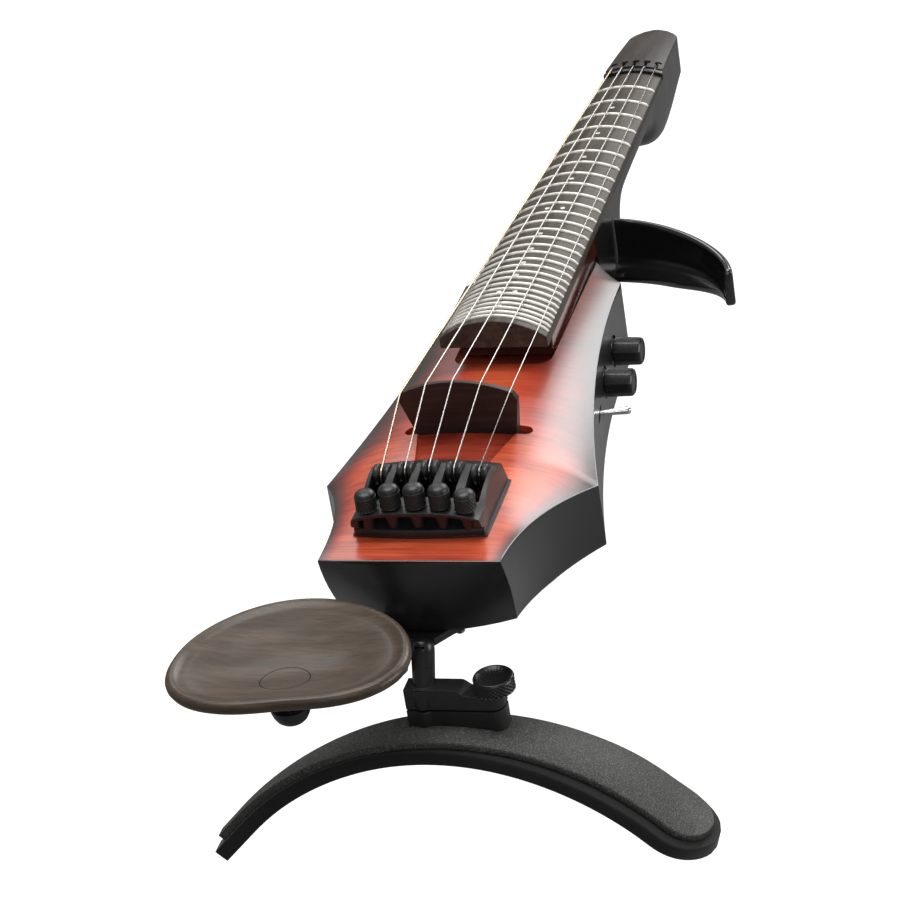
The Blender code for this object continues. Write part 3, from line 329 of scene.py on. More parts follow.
class Nodes:
    """Small builder for a material's node tree."""

    def __init__(self, name, **values):
        self.mat = bpy.data.materials.new(name)
        self.mat["slot"] = SLOT_OF.get(name, name)
        self.mat.use_nodes = True
        self.tree = self.mat.node_tree
        self.shader = self.tree.nodes["Principled BSDF"]
        for key, value in values.items():
            self.shader.inputs[key.replace("_", " ")].default_value = value
        self.coords = self.tree.nodes.new("ShaderNodeTexCoord").outputs["Object"]

    def node(self, kind, **settings):
        n = self.tree.nodes.new(kind)
        for key, value in settings.items():
            setattr(n, key, value)
        return n

    def link(self, a, b):
        self.tree.links.new(a, b)
        return b

    def place(self, scale, rotation=(0, 0, 0)):
        m = self.node("ShaderNodeMapping")
        m.inputs["Scale"].default_value = scale
        m.inputs["Rotation"].default_value = rotation
        self.link(self.coords, m.inputs["Vector"])
        return m.outputs[0]

    def noise(self, scale, detail=4.0, rough=0.55, vector=None, distortion=0.0):
        n = self.node("ShaderNodeTexNoise")
        n.inputs["Scale"].default_value = scale
        n.inputs["Detail"].default_value = detail
        n.inputs["Roughness"].default_value = rough
        n.inputs["Distortion"].default_value = distortion
        self.link(vector or self.coords, n.inputs["Vector"])
        return n.outputs["Fac"]

    def ramp(self, fac, stops):
        r = self.node("ShaderNodeValToRGB")
        while len(r.color_ramp.elements) < len(stops):
            r.color_ramp.elements.new(0.5)
        for element, (pos, colour) in zip(r.color_ramp.elements, stops):
            element.position = pos
            element.color = (*colour, 1.0) if isinstance(colour, tuple) else (colour, colour, colour, 1.0)
        self.link(fac, r.inputs["Fac"])
        return r.outputs["Color"]

    def mix(self, a, b, fac, mode="MIX"):
        m = self.node("ShaderNodeMix", data_type="RGBA", blend_type=mode)
        for value, key in ((fac, 0), (a, 6), (b, 7)):
            if hasattr(value, "is_output"):
                self.link(value, m.inputs[key])
            elif key == 0:
                m.inputs[0].default_value = value
            else:
                m.inputs[key].default_value = (*value, 1.0)
        return m.outputs[2]

    def maths(self, operation, a, b=0.0):
        m = self.node("ShaderNodeMath", operation=operation)
        for i, value in enumerate((a, b)):
            if hasattr(value, "is_output"):
                self.link(value, m.inputs[i])
            else:
                m.inputs[i].default_value = value
        return m.outputs[0]

    def bump(self, height, strength, distance_mm):
        b = self.node("ShaderNodeBump")
        b.inputs["Strength"].default_value = strength
        b.inputs["Distance"].default_value = distance_mm * MM
        self.link(height, b.inputs["Height"])
        self.link(b.outputs[0], self.shader.inputs["Normal"])

    def colour(self, out):
        self.link(out, self.shader.inputs["Base Color"])

    def tone(self, fac, dark, light):
        self.colour(self.ramp(fac, ((0.3, dark), (0.7, light))))

    def rough(self, fac, low, high):
        self.link(self.ramp(fac, ((0.25, low), (0.75, high))), self.shader.inputs["Roughness"])


def mat_burst():
    """Figured maple under a red stain that darkens to black at the outline, with a deep clear coat. Faces
    sunk below the arch take a darker red: painted shade in the recesses.
    """
    m = Nodes("sunburst_maple_lacquer", Coat_Weight=0.9, Coat_Roughness=0.27, Coat_IOR=1.55)
    attr = m.node("ShaderNodeAttribute", attribute_name="stain_reach_and_recess_shade")
    wobble = m.noise(55.0, 3.0, 0.5, m.place((1.0, 0.35, 1.0)))
    reach = m.maths("ADD", attr.outputs["Fac"], m.maths("MULTIPLY", m.maths("SUBTRACT", wobble, 0.5), 0.22))
    stain = m.ramp(reach, ((0.0, (0.014, 0.008, 0.006)), (0.12, (0.055, 0.015, 0.009)),
                           (0.42, (0.250, 0.032, 0.016)), (0.75, (0.54, 0.062, 0.024)),
                           (1.0, (0.66, 0.100, 0.034))))
    fine = m.noise(260.0, 5.0, 0.62, m.place((0.10, 2.9, 1.0)), 0.3)
    flame = m.noise(46.0, 2.0, 0.5, m.place((0.30, 1.5, 1.0), (0, 0, 0.06)), 0.9)
    figure = m.ramp(m.maths("ADD", m.maths("MULTIPLY", fine, 0.55), m.maths("MULTIPLY", flame, 0.45)),
                    ((0.38, (0.48, 0.34, 0.28)), (0.52, (0.92, 0.88, 0.86)), (0.64, (1.22, 1.36, 1.40))))
    m.colour(m.mix(stain, figure, 0.85, "MULTIPLY"))
    m.rough(fine, 0.34, 0.44)
    m.bump(m.noise(900.0, 3.0), 0.03, 0.05)
    return m.mat


def mat_gloss_black(name="gloss_black_lacquer", base=0.005, rough=(0.16, 0.24), coat=0.9, coat_rough=0.06):
    m = Nodes(name, Coat_Weight=coat, Coat_Roughness=coat_rough)
    n = m.noise(120.0, 5.0)
    m.tone(n, base * 0.8, base * 1.25)
    m.rough(m.noise(40.0, 4.0), *rough)
    m.bump(m.noise(420.0, 3.0), 0.02, 0.05)
    return m.mat


def mat_dark_red():
    """Stained neck foot: nearly black red, slightly figured."""
    m = Nodes("dark_red_stain", Coat_Weight=0.8, Coat_Roughness=0.12)
    n = m.noise(160.0, 5.0, 0.6, m.place((1.0, 0.25, 1.0)))
    m.tone(n, (0.040, 0.007, 0.004), (0.095, 0.014, 0.007))
    m.rough(n, 0.22, 0.34)
    return m.mat


def mat_ebony(name, dark, light, rough=(0.38, 0.52), along=(4.0, 0.18, 4.0), pores=0.25, coat=0.0):
    """Streaked dark wood: long grain streaks, fine pores and an uneven satin."""
    m = Nodes(name, Coat_Weight=coat, Coat_Roughness=0.25, Specular_IOR_Level=0.3)
    vec = m.place(along)
    streak = m.noise(60.0, 6.0, 0.62, vec, 0.6)
    fine = m.noise(420.0, 3.0, 0.5, vec)
    tone = m.mix(m.ramp(streak, ((0.30, dark), (0.5, tuple(lerp(a, b, 0.4) for a, b in zip(dark, light))),
                                 (0.68, light))), m.ramp(fine, ((0.35, 0.55), (0.6, 1.0))), 0.6, "MULTIPLY")
    m.colour(tone)
    m.rough(streak, *rough)
    m.bump(m.maths("ADD", fine, streak), pores, 0.06)
    return m.mat


def mat_metal(name, colour, rough=(0.16, 0.3), scale=(1.0, 1.0, 1.0), bump=0.03, metallic=1.0):
    m = Nodes(name, Metallic=metallic)
    n = m.noise(300.0, 4.0, 0.6, m.place(scale))
    m.tone(n, tuple(c * 0.86 for c in colour), colour)
    m.rough(n, *rough)
    m.bump(n, bump, 0.03)
    return m.mat


def mat_anodised(name="black_anodised", base=(0.030, 0.030, 0.031), rough=(0.30, 0.44)):
    """Bead-blasted black anodised aluminium."""
    m = Nodes(name, Metallic=0.35, Specular_IOR_Level=0.6)
    n = m.noise(1400.0, 3.0)
    cloud = m.noise(60.0, 3.0)
    m.tone(cloud, tuple(c * 0.75 for c in base), base)
    m.rough(m.maths("ADD", m.maths("MULTIPLY", n, 0.6), m.maths("MULTIPLY", cloud, 0.4)), *rough)
    m.bump(n, 0.10, 0.04)
    return m.mat


def mat_plastic():
    m = Nodes("black_plastic", Specular_IOR_Level=0.5)
    n = m.noise(700.0, 3.0)
    m.tone(m.noise(90.0), 0.010, 0.017)
    m.rough(n, 0.24, 0.34)
    m.bump(n, 0.05, 0.03)
    return m.mat


def mat_wound(name, colour):
    """Wound string: fine flat windings along the string's length, with painted shade darkening the grooves
    between them.
    """
    m = Nodes(name, Metallic=1.0)
    wave = m.node("ShaderNodeTexWave", wave_type="BANDS", bands_direction="Y")
    wave.inputs["Scale"].default_value = 620.0
    m.link(m.coords, wave.inputs["Vector"])
    # the colour dips to 0.7 where the bands sink: painted shade in the grooves
    m.colour(m.ramp(wave.outputs["Fac"], ((0.0, tuple(c * 0.7 for c in colour)), (0.6, colour))))
    m.rough(m.noise(500.0), 0.22, 0.34)
    m.bump(wave.outputs["Fac"], 0.35, 0.05)
    return m.mat


def mat_speckled():
    """Grey rubber sheet with fine pale specks."""
    m = Nodes("speckled_rubber", Specular_IOR_Level=0.35)
    fleck = m.noise(2100.0, 2.0, 0.7)
    cloud = m.noise(90.0, 4.0)
    base = m.ramp(cloud, ((0.3, (0.030, 0.031, 0.030)), (0.7, (0.042, 0.043, 0.041))))
    specks = m.ramp(fleck, ((0.50, 0.0), (0.66, 1.0)))
    m.colour(m.mix(base, (0.15, 0.15, 0.14), specks))
    m.rough(fleck, 0.55, 0.72)
    m.bump(fleck, 0.35, 0.08)
    return m.mat


def mat_foam():
    """Dense closed-cell foam: matt black with tiny open cells."""
    m = Nodes("black_foam", Specular_IOR_Level=0.25, Sheen_Weight=0.25, Sheen_Roughness=0.5)
    cells = m.node("ShaderNodeTexVoronoi", feature="F1")
    cells.inputs["Scale"].default_value = 1500.0
    m.link(m.coords, cells.inputs["Vector"])
    n = m.noise(120.0, 5.0)
    m.tone(n, 0.006, 0.012)
    m.rough(n, 0.78, 0.92)
    m.bump(m.maths("ADD", cells.outputs["Distance"], m.maths("MULTIPLY", n, 0.5)), 0.35, 0.15)
    return m.mat


def mat_pearl():
    m = Nodes("pearl_dot", Coat_Weight=0.6, Coat_Roughness=0.1)
    n = m.noise(700.0, 3.0, 0.5, None, 1.5)
    m.colour(m.ramp(n, ((0.3, (0.62, 0.60, 0.55)), (0.5, (0.78, 0.80, 0.76)), (0.7, (0.86, 0.80, 0.76)))))
    m.rough(n, 0.2, 0.35)
    return m.mat


BURST = mat_burst()
BLACK = mat_gloss_black()
BODY_BLACK = mat_gloss_black("body_lacquer", 0.007, (0.30, 0.38), 0.8, 0.22)
NECK_BLACK = mat_gloss_black("neck_lacquer", 0.006, (0.30, 0.40), 0.3, 0.15)
FOOT_RED = mat_dark_red()
BOARD = mat_ebony("ebony_board", (0.040, 0.032, 0.025), (0.100, 0.082, 0.064))
HEAD_WOOD = mat_ebony("ebony_head", (0.036, 0.031, 0.028), (0.066, 0.058, 0.050), (0.34, 0.44))
BRIDGE_WOOD = mat_ebony("ebony_bridge", (0.026, 0.021, 0.020), (0.062, 0.050, 0.046), (0.42, 0.58),
                        (0.3, 4.0, 5.0))
DISH_WOOD = mat_ebony("chin_rest_wood", (0.052, 0.034, 0.022), (0.112, 0.077, 0.051), (0.34, 0.46),
                      (0.30, 2.2, 2.2), 0.15, 0.25)
FRET = mat_metal("nickel_silver", (0.88, 0.85, 0.79), (0.42, 0.55), metallic=0.45)
STEEL = mat_metal("steel", (0.62, 0.62, 0.63), (0.24, 0.36))
CHROME = mat_metal("chrome", (0.88, 0.87, 0.86), (0.06, 0.14), bump=0.01)
ANODISED = mat_anodised()
ANODISED_SATIN = mat_anodised("black_anodised_satin", (0.022, 0.022, 0.023), (0.22, 0.34))
PLASTIC = mat_plastic()
WINDINGS = [mat_wound("string_wound_gold", (0.78, 0.64, 0.45)),
            mat_wound("string_wound_silver", (0.74, 0.69, 0.62)),
            mat_wound("string_wound_pale", (0.70, 0.68, 0.65))]
PLAIN_STRING = mat_metal("string_plain", (0.68, 0.66, 0.63), (0.16, 0.26), (1.0, 0.1, 1.0))
SPECKLED = mat_speckled()
FOAM = mat_foam()
PEARL = mat_pearl()
GREEN = mat_metal("circuit_board", (0.02, 0.16, 0.06), (0.4, 0.55), metallic=0.0)


# ---- body

def offset_outline(line, inset):
    """Move a half outline inwards along its normals."""
    out = []
    for i, (x, y) in enumerate(line):
        ax, ay = line[max(i - 1, 0)]
        bx, by = line[min(i + 1, len(line) - 1)]
        length = math.hypot(bx - ax, by - ay)
        out.append((x - inset * (by - ay) / length, y + inset * (bx - ax) / length))
    return out


def body_ring(right, height, tail_bulge=0.0, tail_in=0.0, neck_in=0.0, shift=0.0):
    """Closed ring round the body from its right side; the tail edge can bow outwards."""
    ring = [(right[0][0], right[0][1] + tail_in)] + right[1:-1] + [(right[-1][0], right[-1][1] - neck_in)]
    left = [(-x, y) for x, y in reversed(ring)]
    steps = 12
    neck = [(lerp(ring[-1][0], left[0][0], k / steps), ring[-1][1]) for k in range(1, steps)]
    tail = []
    for k in range(1, steps):
        x = lerp(left[-1][0], ring[0][0], k / steps)
        tail.append((x, ring[0][1] + tail_bulge * (1 - (x / ring[0][0]) ** 2)))
    fade = lambda y: max(0.0, 1.0 - (y - ring[0][1]) / 25.0)
    return [(x + shift * fade(y), y, height(x, y)) for x, y in ring + neck + left + tail]


def body_shell():
    """Lower shell: rounded rim, side walls that lean in at the tail, and everything that is cut into it."""
    top = side_line()
    under = side_line(TAIL_BACK, PULL_LOW_BACK)
    edge = lambda drop: (lambda x, y: edge_z(y) - drop)
    rim = lambda inset, drop: body_ring(offset_outline(top, inset), edge(drop), 0, inset, inset)

    def between(t):
        """Side line part of the way down; near the tail it swells a little at half height."""
        swell, line = 4.0 * t * (1.0 - t), []
        for i, (p, q) in enumerate(zip(top, under)):
            x, y = lerp(p[0], q[0], t), lerp(p[1], q[1], t)
            fade = min(max(0.0, 1.0 - (y + 71.0) / 35.0), 1.0)
            line.append((x * (1.0 + 0.033 * swell * fade), y - (0.6 * swell if i == 0 else 0.0)))
        return line

    bulge = TAIL_BACK_MID - TAIL_BACK[1]
    rings = [rim(3.0, 3.2), rim(0.45, 0.9), rim(0.40, -0.01), rim(0.22, 0.02), rim(0.06, 0.12),
             body_ring(top, edge(0.35))]
    for t in (0.05, 0.15, 0.3, 0.45, 0.6, 0.75, 0.88, 0.96):
        height = lambda x, y, t=t: lerp(edge_z(y) - 0.35, 1.0, t)
        rings.append(body_ring(between(t), height, bulge * t, shift=TAIL_SHIFT * t))
    rings += [body_ring(under, lambda x, y: 0.8, bulge, shift=TAIL_SHIFT),
              body_ring(offset_outline(under, 0.25), lambda x, y: 0.22, bulge, 0.25, shift=TAIL_SHIFT),
              body_ring(offset_outline(under, 0.8), lambda x, y: 0.0, bulge, 0.8, shift=TAIL_SHIFT)]
    shell = piece("body_shell", loft(rings), BODY_BLACK, "violin", ("body_back",))
    cut(shell, body_cuts())


def body_cuts():
    """Cutters for the cavity, its cover, the controls, the jack, the tuner well, the bridge and the board."""
    cavity = [(-14.0, 46.0)] + [(wall_x(y) - 5.4, y) for y in (46.0, 66.0, 92.0, 122.0)] + [(-14.0, 122.0)]
    right = [(wall_x(y) - 2.9, y) for y in (41.0, 66.0, 92.0, 127.0)]
    cover = [(-17.5, -15.0), (17.5, -15.0), (17.5, 41.0)] + right + [(-17.5, 127.0)]
    tools = [prism(cavity, -1.0, 27.0), box(-14.5, 14.5, -8.5, 43.0, -1.0, 22.0), prism(cover, -1.0, 2.5)]
    for y in (VOLUME_Y, TONE_Y):
        steps = [(-12.0, 4.1), (-1.4, 4.1), (-1.4, 6.5), (6.0, 6.5)]
        tools.append(lathe(steps, (wall_x(y), y, CONTROL_Z), "X", 48))
    tools.append(toggle_slot())
    jack = [(-6.0, 7.2), (1.2, 7.2), (1.2, 5.0), (40.0, 5.0)]
    tools.append(lathe(jack, (-wall_x(TOGGLE_Y), TOGGLE_Y, CONTROL_Z), "X", 48))
    tools.append(box(-22.3, 22.3, -66.2, -33.0, 23.5, 45.0))
    tools.append(prism(stadium(*BRIDGE_SLOT), 29.5, 45.0))
    tools.append(pocket_shape(34.0))
    return tools


def toggle_slot():
    """Pointed slot sunk in the side wall, as a disc cutter leaves it."""
    wall = wall_x(TOGGLE_Y)
    half, wide, gap = 8.2, 1.55, 0.02
    outline = []
    for s in (1, -1):
        for i in range(13):
            t = -1 + i / 6
            outline.append((TOGGLE_Y + s * t * half, CONTROL_Z + (s * wide * (1 - t * t) + s * gap)))
    return loft([[(x, y, z) for y, z in outline] for x in (wall - 12.0, wall + 4.0)])


def pocket_shape(floor):
    """Scooped recess under the end of the board: rounded corners and a floor that dips towards the neck."""
    rings = []
    for z, grow in ((46.0, 0.4), (39.2, 0.0), (37.6, -0.5), (floor + 0.7, -1.2), (floor, -2.4)):
        outline = round_rect(-20.0 - grow, 20.0 + grow, 60.0 - grow, 176.0, 6.5)
        rings.append([(x, y, z) for x, y in outline])
    return loft(rings)


def burst_top():
    """Arched figured top with its ramp, bridge slot, pocket and tuner opening."""
    top = piece("burst_top", burst_slab(0.36), BURST, "violin", ("top_plate",), hard=True)
    tuner_well = box(-21.9, 21.9, -62.6, -33.0, 28.0, 46.0)
    openings = [prism(stadium(*BRIDGE_SLOT), 28.0, 46.0), ramp_shape(), tuner_well]
    cut(top, openings + shaft_bores(25.0, 45.0, 1.6) + [pocket_shape(35.6)])
    mark_stain_and_recess_shade(top)


def burst_slab(inset):
    """Slab that fills the rim; its upper side is arched and its lower side leans in at the tail."""
    thick, narrowing = 4.2, 0.985
    line = offset_outline(side_line(), inset)
    line = [(line[0][0], line[0][1] + inset)] + line[1:-1] + [(line[-1][0], line[-1][1] - inset)]
    cols = [math.copysign(abs(k / 16) ** 0.82, k) for k in range(-16, 17)]
    grid = [[(w * u, y, top_z(y, u)) for u in cols] for w, y in line]
    n, rows = len(cols), len(line)
    size = n * rows
    lean = lambda y: 3.0 * max(0.0, 1.0 - (y - TAIL[1]) / 30.0)
    points = [p for row in grid for p in row]
    points += [(narrowing * x, y + lean(y), z - thick) for x, y, z in points]
    faces = []
    for r in range(rows - 1):
        for c in range(n - 1):
            a = r * n + c
            faces.append((a, a + 1, a + n + 1, a + n))
            faces.append((size + a, size + a + n, size + a + n + 1, size + a + 1))
    rim = (list(range(n - 1)) + [r * n + n - 1 for r in range(rows - 1)]
           + [(rows - 1) * n + c for c in range(n - 1, 0, -1)] + [r * n for r in range(rows - 1, 0, -1)])
    for i, a in enumerate(rim):
        b = rim[(i + 1) % len(rim)]
        faces.append((a, b, size + b, size + a))
    return points, faces


def ramp_shape():
    """Sunk ramp that narrows and deepens from the bridge to the tuner."""
    steps, rings = 5, []
    for k in range(steps + 1):
        y, half, z = (lerp(p, q, k / steps) for p, q in ((7.3, -28.5), (19.2, 11.5), (38.85, 35.6)))
        floor = [(half * u, y, z - 0.8 * u * u + (0.5 if abs(u) == 1 else 0.0))
                 for u in (-1, -0.95, -0.7, -0.35, 0.0, 0.35, 0.7, 0.95, 1)]
        rings.append(floor + [(half + 0.5, y, 44.0), (-half - 0.5, y, 44.0)])
    return loft(rings)


def mark_stain_and_recess_shade(top):
    """Store how far each point lies from the outline, 0 to 1, for the stain; points sunk below the arch are
    held at most 0.62, painted shade in the ramp, pocket and slot.
    """
    mark = top.data.attributes.new("stain_reach_and_recess_shade", "FLOAT", "POINT")
    values = []
    for v in top.data.vertices:
        x, y, z = (c / MM for c in v.co)
        across = wall_x(min(max(y, TAIL[1] + 0.1), NECK[1] - 0.1)) - abs(x)
        along = min((y - TAIL[1]) * 1.5 + 24.0, (NECK[1] - y) * 0.9)
        depth = top_z(y, min(abs(x) / max(wall_x(y), 1.0), 1.0)) - z
        fade = lerp(6.0, 1.0, smooth((y - TAIL[1]) / 100.0))
        reach = max(min(across * fade, along), 0.0) / 34.0
        # sunk points (ramp, pocket, slot and well walls) get a darker red: painted shade
        values.append(min(reach, 1.0) if depth < 0.3 else min(reach * 0.9, 0.62))
    mark.data.foreach_set("value", values)


# ---- neck, board, head

def neck_section(y, half, side_z, low_z, power, top_value, steps=28):
    ring = [(half, y, top_value)]
    for i in range(steps + 1):
        c, s = squared(math.pi * i / steps, 2 / power)
        ring.append((half * c, y, side_z - (side_z - low_z) * s))
    ring.append((-half, y, top_value))
    return ring


def squared(angle, power):
    """Cosine and sine pulled out towards a square, as on a superellipse."""
    return [math.copysign(abs(f) ** power, f) for f in (math.cos(angle), math.sin(angle))]


def blend_rows(rows, steps):
    """Smooth rows of numbers with a Catmull-Rom spline through them."""
    out = []
    for i in range(len(rows) - 1):
        p0, p1 = rows[max(i - 1, 0)], rows[i]
        p2, p3 = rows[i + 1], rows[min(i + 2, len(rows) - 1)]
        for k in range(steps):
            t = k / steps
            out.append(tuple(0.5 * (2 * b + (c - a) * t + (2 * a - 5 * b + 4 * c - d) * t * t
                                    + (3 * b - a - 3 * c + d) * t ** 3)
                             for a, b, c, d in zip(p0, p1, p2, p3)))
    out.append(rows[-1])
    return out


def neck():
    """Neck with its heel, volute and head block, and the stained foot that carries the board."""
    under = lambda y: board_value(BOARD_FLOOR, y) - 0.02
    half = lambda y: board_value(BOARD_HALF, y) - 0.1
    rows = [(160.6, 17.2, 12.0, 4.0, 6.0), (174.0, 17.2, 12.5, 4.2, 6.0), (186.0, 17.2, 14.0, 5.0, 6.0),
            (197.0, 17.0, 24.0, 9.0, 5.0), (204.0, 16.9, 33.0, 19.0, 4.0),
            (210.0, half(210.0), 38.5, 28.0, 3.0), (220.0, half(220.0), 41.0, 32.0, 2.4)]
    rows += [(y, half(y), under(y) - 3.0, under(y) - 12.0, 2.2) for y in (245.0, 270.0, 288.0)]
    rows += [(298.0, half(298.0), 38.0, 26.0, 2.3), (306.0, 13.8, 34.0, 19.0, 2.5),
             (316.0, 13.5, 30.0, 14.5, 2.6), (325.0, 13.3, 29.0, 13.2, 2.8)]
    rows = [(*row, under(row[0])) for row in rows]
    head = [(328.2, 13.2, 29.0, 13.2, 2.8, HEAD_FLOOR[0])]
    head += [(y, wide, 29.0, low, power, head_top(y))
             for (y, wide), low, power in zip(HEAD_PLAN, (14.2, 17.3, 20.6, 23.6), (3.0, 3.4, 4.0, 5.0))]
    tip = []
    for f, wide in HEAD_TIP:
        y = HEAD_END + HEAD_BULGE * f
        tip.append((y, wide, 29.0 + f, 23.8 + 1.6 * f, 5.0, head_top(y)))
    sections = [neck_section(*row) for row in blend_rows(rows, 5) + blend_rows(head, 4) + tip]
    piece("neck_shell", loft(sections), NECK_BLACK, "violin", ("neck",), 40.0)
    rings = []
    for y, wide in ((72.0, 18.7), (160.5, 17.2)):
        corners = ((wide, 35.9), (wide, under(y)), (-wide, under(y)), (-wide, 35.9))
        rings.append([(x, y, z) for x, z in corners])
    bevel(piece("neck_foot", loft(rings), FOOT_RED, "violin"), 0.7, 3)


def fingerboard():
    rings = []
    for y in (BOARD_START, 120.0, 190.0, 260.0, SCALE):
        half, floor = board_value(BOARD_HALF, y), board_value(BOARD_FLOOR, y)
        rings.append(crowned_ring(y, half, floor, lambda x: board_top(x, y), 48))
    bevel(piece("board", loft(rings), BOARD, "violin", ("fingerboard",)), 0.45, 3, 40)
    wires = [fret_wire(fret_y(n)) for n in range(1, FRETS + 1)]
    piece("frets", merge(*wires), FRET, "violin", ("fret_set",), 60.0)
    dots = []
    for n in (3, 5, 7, 9, 12, 15, 17, 19, 21, 24, 27):
        y = (fret_y(n) + fret_y(n - 1)) / 2
        for x in ((-3.2, 3.2) if n in (12, 24) else (0.0,)):
            dots.append(lathe([(-0.5, 1.05), (0.05, 1.05), (0.09, 0.9)], (x, y, board_top(x, y)), "Z", 24))
    piece("position_dots", merge(*dots), PEARL, "violin")


def fret_wire(y):
    """Domed fret that follows the board's curve and is dressed down at both ends."""
    rise = [(0.42, 0.88), (0.66, 0.45), (0.72, 0.0)]
    profile = [(-a, b) for a, b in reversed(rise)] + [(0.0, 1.05)] + rise
    half, sunk, dressed = board_value(BOARD_HALF, y) - 0.15, 0.15, 0.9
    rings = []
    for i in range(33):
        x = half * (1 - i / 16)
        z = board_top(x, y) - sunk
        share = 1.0 if abs(x) < half - dressed else 0.35 + 0.65 * (half - abs(x)) / dressed
        rings.append([(x, y + a, z + b * share) for a, b in profile])
    return loft(rings)


def nut_and_head():
    half, cols = BOARD_HALF[1] + 0.45, 24
    rings = [crowned_ring(y, half, 42.4, lambda x, lift=lift: string_z(x, Z_NUT) - 0.95 + lift, cols)
             for y, lift in ((SCALE + 0.05, 0.0), (SCALE + 1.6, 0.35), (SCALE + 2.9, 0.1))]
    bevel(piece("nut_bar", loft(rings), ANODISED_SATIN, "violin", ("nut",)), 0.3, 2, 40)
    start, lip = 328.25, 0.05
    rows = [(start, 13.2 + lip)] + [(y, w + lip) for y, w in HEAD_PLAN]
    rows += [(HEAD_END + f * HEAD_BULGE, w + lip) for f, w in HEAD_TIP]
    rings = []
    for y, w in rows:
        t = (y - start) / (HEAD_END + HEAD_BULGE - start)
        crown, floor = lerp(48.6, 44.4, t) + 0.5 * math.sin(math.pi * t), head_top(y) + 0.02
        rings.append(crowned_ring(y, w, floor, lambda x: max(crown - x * x / 74.0, floor + 0.25), cols))
    plate = piece("head_cap", loft(rings), HEAD_WOOD, "violin", ("head_plate",), hard=True)
    tools, ends = [], []
    for i in range(5):
        x = string_x(i, PITCH_NUT)
        tools.append(prism(round_rect(x - 0.75, x + 0.75, 327.0, 334.0, 0.4, 3), 43.4, 52.0))
        tools.append(prism(round_rect(x - 1.5, x + 1.5, 332.6, 335.8, 0.5, 3), 43.4, 52.0))
        ends.append(lathe([(0.0, 1.15), (0.6, 1.2), (1.8, 1.2), (2.2, 0.9)], (x, 333.0, 45.2), "Y", 20))
    cut(plate, tools)
    bevel(plate, 0.25, 2, 40)
    piece("string_anchors", merge(*ends), ANODISED, "violin")


# ---- bridge, strings

def bridge():
    tail_face = lambda z: lerp(7.1, -0.6, (z - 36.0) / 28.0)
    head_face = lambda z: min(11.6, lerp(11.6, 1.0, (z - 39.0) / 25.0))
    side = [(19.5, 39.0), (21.1, 46.5), (22.5, 53.4), (22.75, 54.6), (22.4, 55.6)]
    crown = [21.4 * (1 - i / 16) for i in range(33)]
    outline = [(-19.2, 34.0), (19.2, 34.0)] + side + [(x, string_z(x, Z_BRIDGE) - 0.55) for x in crown]
    outline += [(-x, z) for x, z in reversed(side)]
    rings = [[(x, lerp(tail_face(z), head_face(z), t), z) for x, z in outline] for t in (0.0, 0.5, 1.0)]
    obj = piece("bridge_blade", loft(rings), BRIDGE_WOOD, "violin", ("bridge",), hard=True)
    grooves = []
    for i, d in enumerate(STRING_D):
        x = string_x(i, PITCH_BRIDGE)
        z = string_z(x, Z_BRIDGE)
        grooves.append(tube([(x, -8.0, z - 0.30), (x, 12.0, z - 0.25)], d / 2 + 0.06, 12))
    cut(obj, grooves)
    bevel(obj, 0.35, 2, 40)


def string_path(i):
    """From the head over the nut and bridge, a quarter turn round the roller and down into the tuner."""
    x_nut, x_bridge, x_roll = (string_x(i, pitch) for pitch in (PITCH_NUT, PITCH_BRIDGE, PITCH_ROLLER))
    z_roll, z_bridge = ROLLER_Z[i], string_z(x_bridge, Z_BRIDGE)
    fall = math.atan2(z_bridge - z_roll - WRAP, -ROLLER_Y)
    path = [(x_nut, 333.6, 45.3), (x_nut, 331.2, 46.9), (x_nut, SCALE + 3.0, string_z(x_nut, Z_NUT) - 0.12),
            (x_nut, SCALE + 1.6, string_z(x_nut, Z_NUT)), (x_bridge, 0.6, z_bridge + 0.02),
            (x_bridge, -0.8, z_bridge - 0.06)]
    for k in range(13):
        a = lerp(math.pi / 2 + fall, math.pi, k / 12)
        path.append((x_roll, ROLLER_Y + WRAP * math.cos(a), z_roll + WRAP * math.sin(a)))
    path.append((x_roll, ROLLER_Y - WRAP, 33.0))
    return path


def strings():
    mats = (*WINDINGS, WINDINGS[-1], PLAIN_STRING)
    for i, (d, mat) in enumerate(zip(STRING_D, mats)):
        line = tube(string_path(i), d / 2, 14)
        piece(f"string_line_{i + 1}", line, mat, "violin", (f"string_{i + 1}",), 80.0)


# ---- tuner

def knob_seat(x):
    return KNOB_Z - 1.4 * abs(x / (2 * PITCH_ROLLER)) ** 3


def base_z(x, y):
    """Height of the arched top under the tuner."""
    return top_z(y, x / wall_x(y))


def frame_ring(x, half):
    """Side profile of the tuner's housing: bulging lip, overhanging ledge, roller bays and front bar."""
    share = (x / half) ** 2
    tail, over = -65.6 + 2.4 * share, -67.7 + 0.8 * share
    base = lambda y: base_z(x, y) + 0.05
    ledge, bay, bar = knob_seat(x) - 0.3, 50.9 - x * x / 400.0, 48.4 - x * x / 356.0
    profile = [(tail, base(tail)), (tail - 0.6, 37.5), (tail - 0.9, 38.5), (tail - 0.8, 39.2),
               (tail - 0.4, 39.7), (tail + 0.1, 39.9), (over + 0.9, 41.0), (over + 0.4, ledge - 2.1),
               (over + 0.1, ledge - 1.3),
               (over, ledge - 0.3), (over + 0.3, ledge), (-57.5, ledge), (-51.0, lerp(ledge, bay, 0.55)),
               (-43.5, bay - 0.2), (-37.5, bay), (-35.4, bar + 0.15), (-30.6, bar - 0.2), (-29.4, bar - 0.8),
               (-27.4, base(-27.4) + 1.2), (-27.2, base(-27.2)), (-42.0, base(-42.0)), (-58.0, base(-58.0))]
    taper = 1.0 - 23.1 / 24.3
    return [(x * (1.0 - taper * smooth((z - 42.0) / 5.0)), y, z) for y, z in profile]


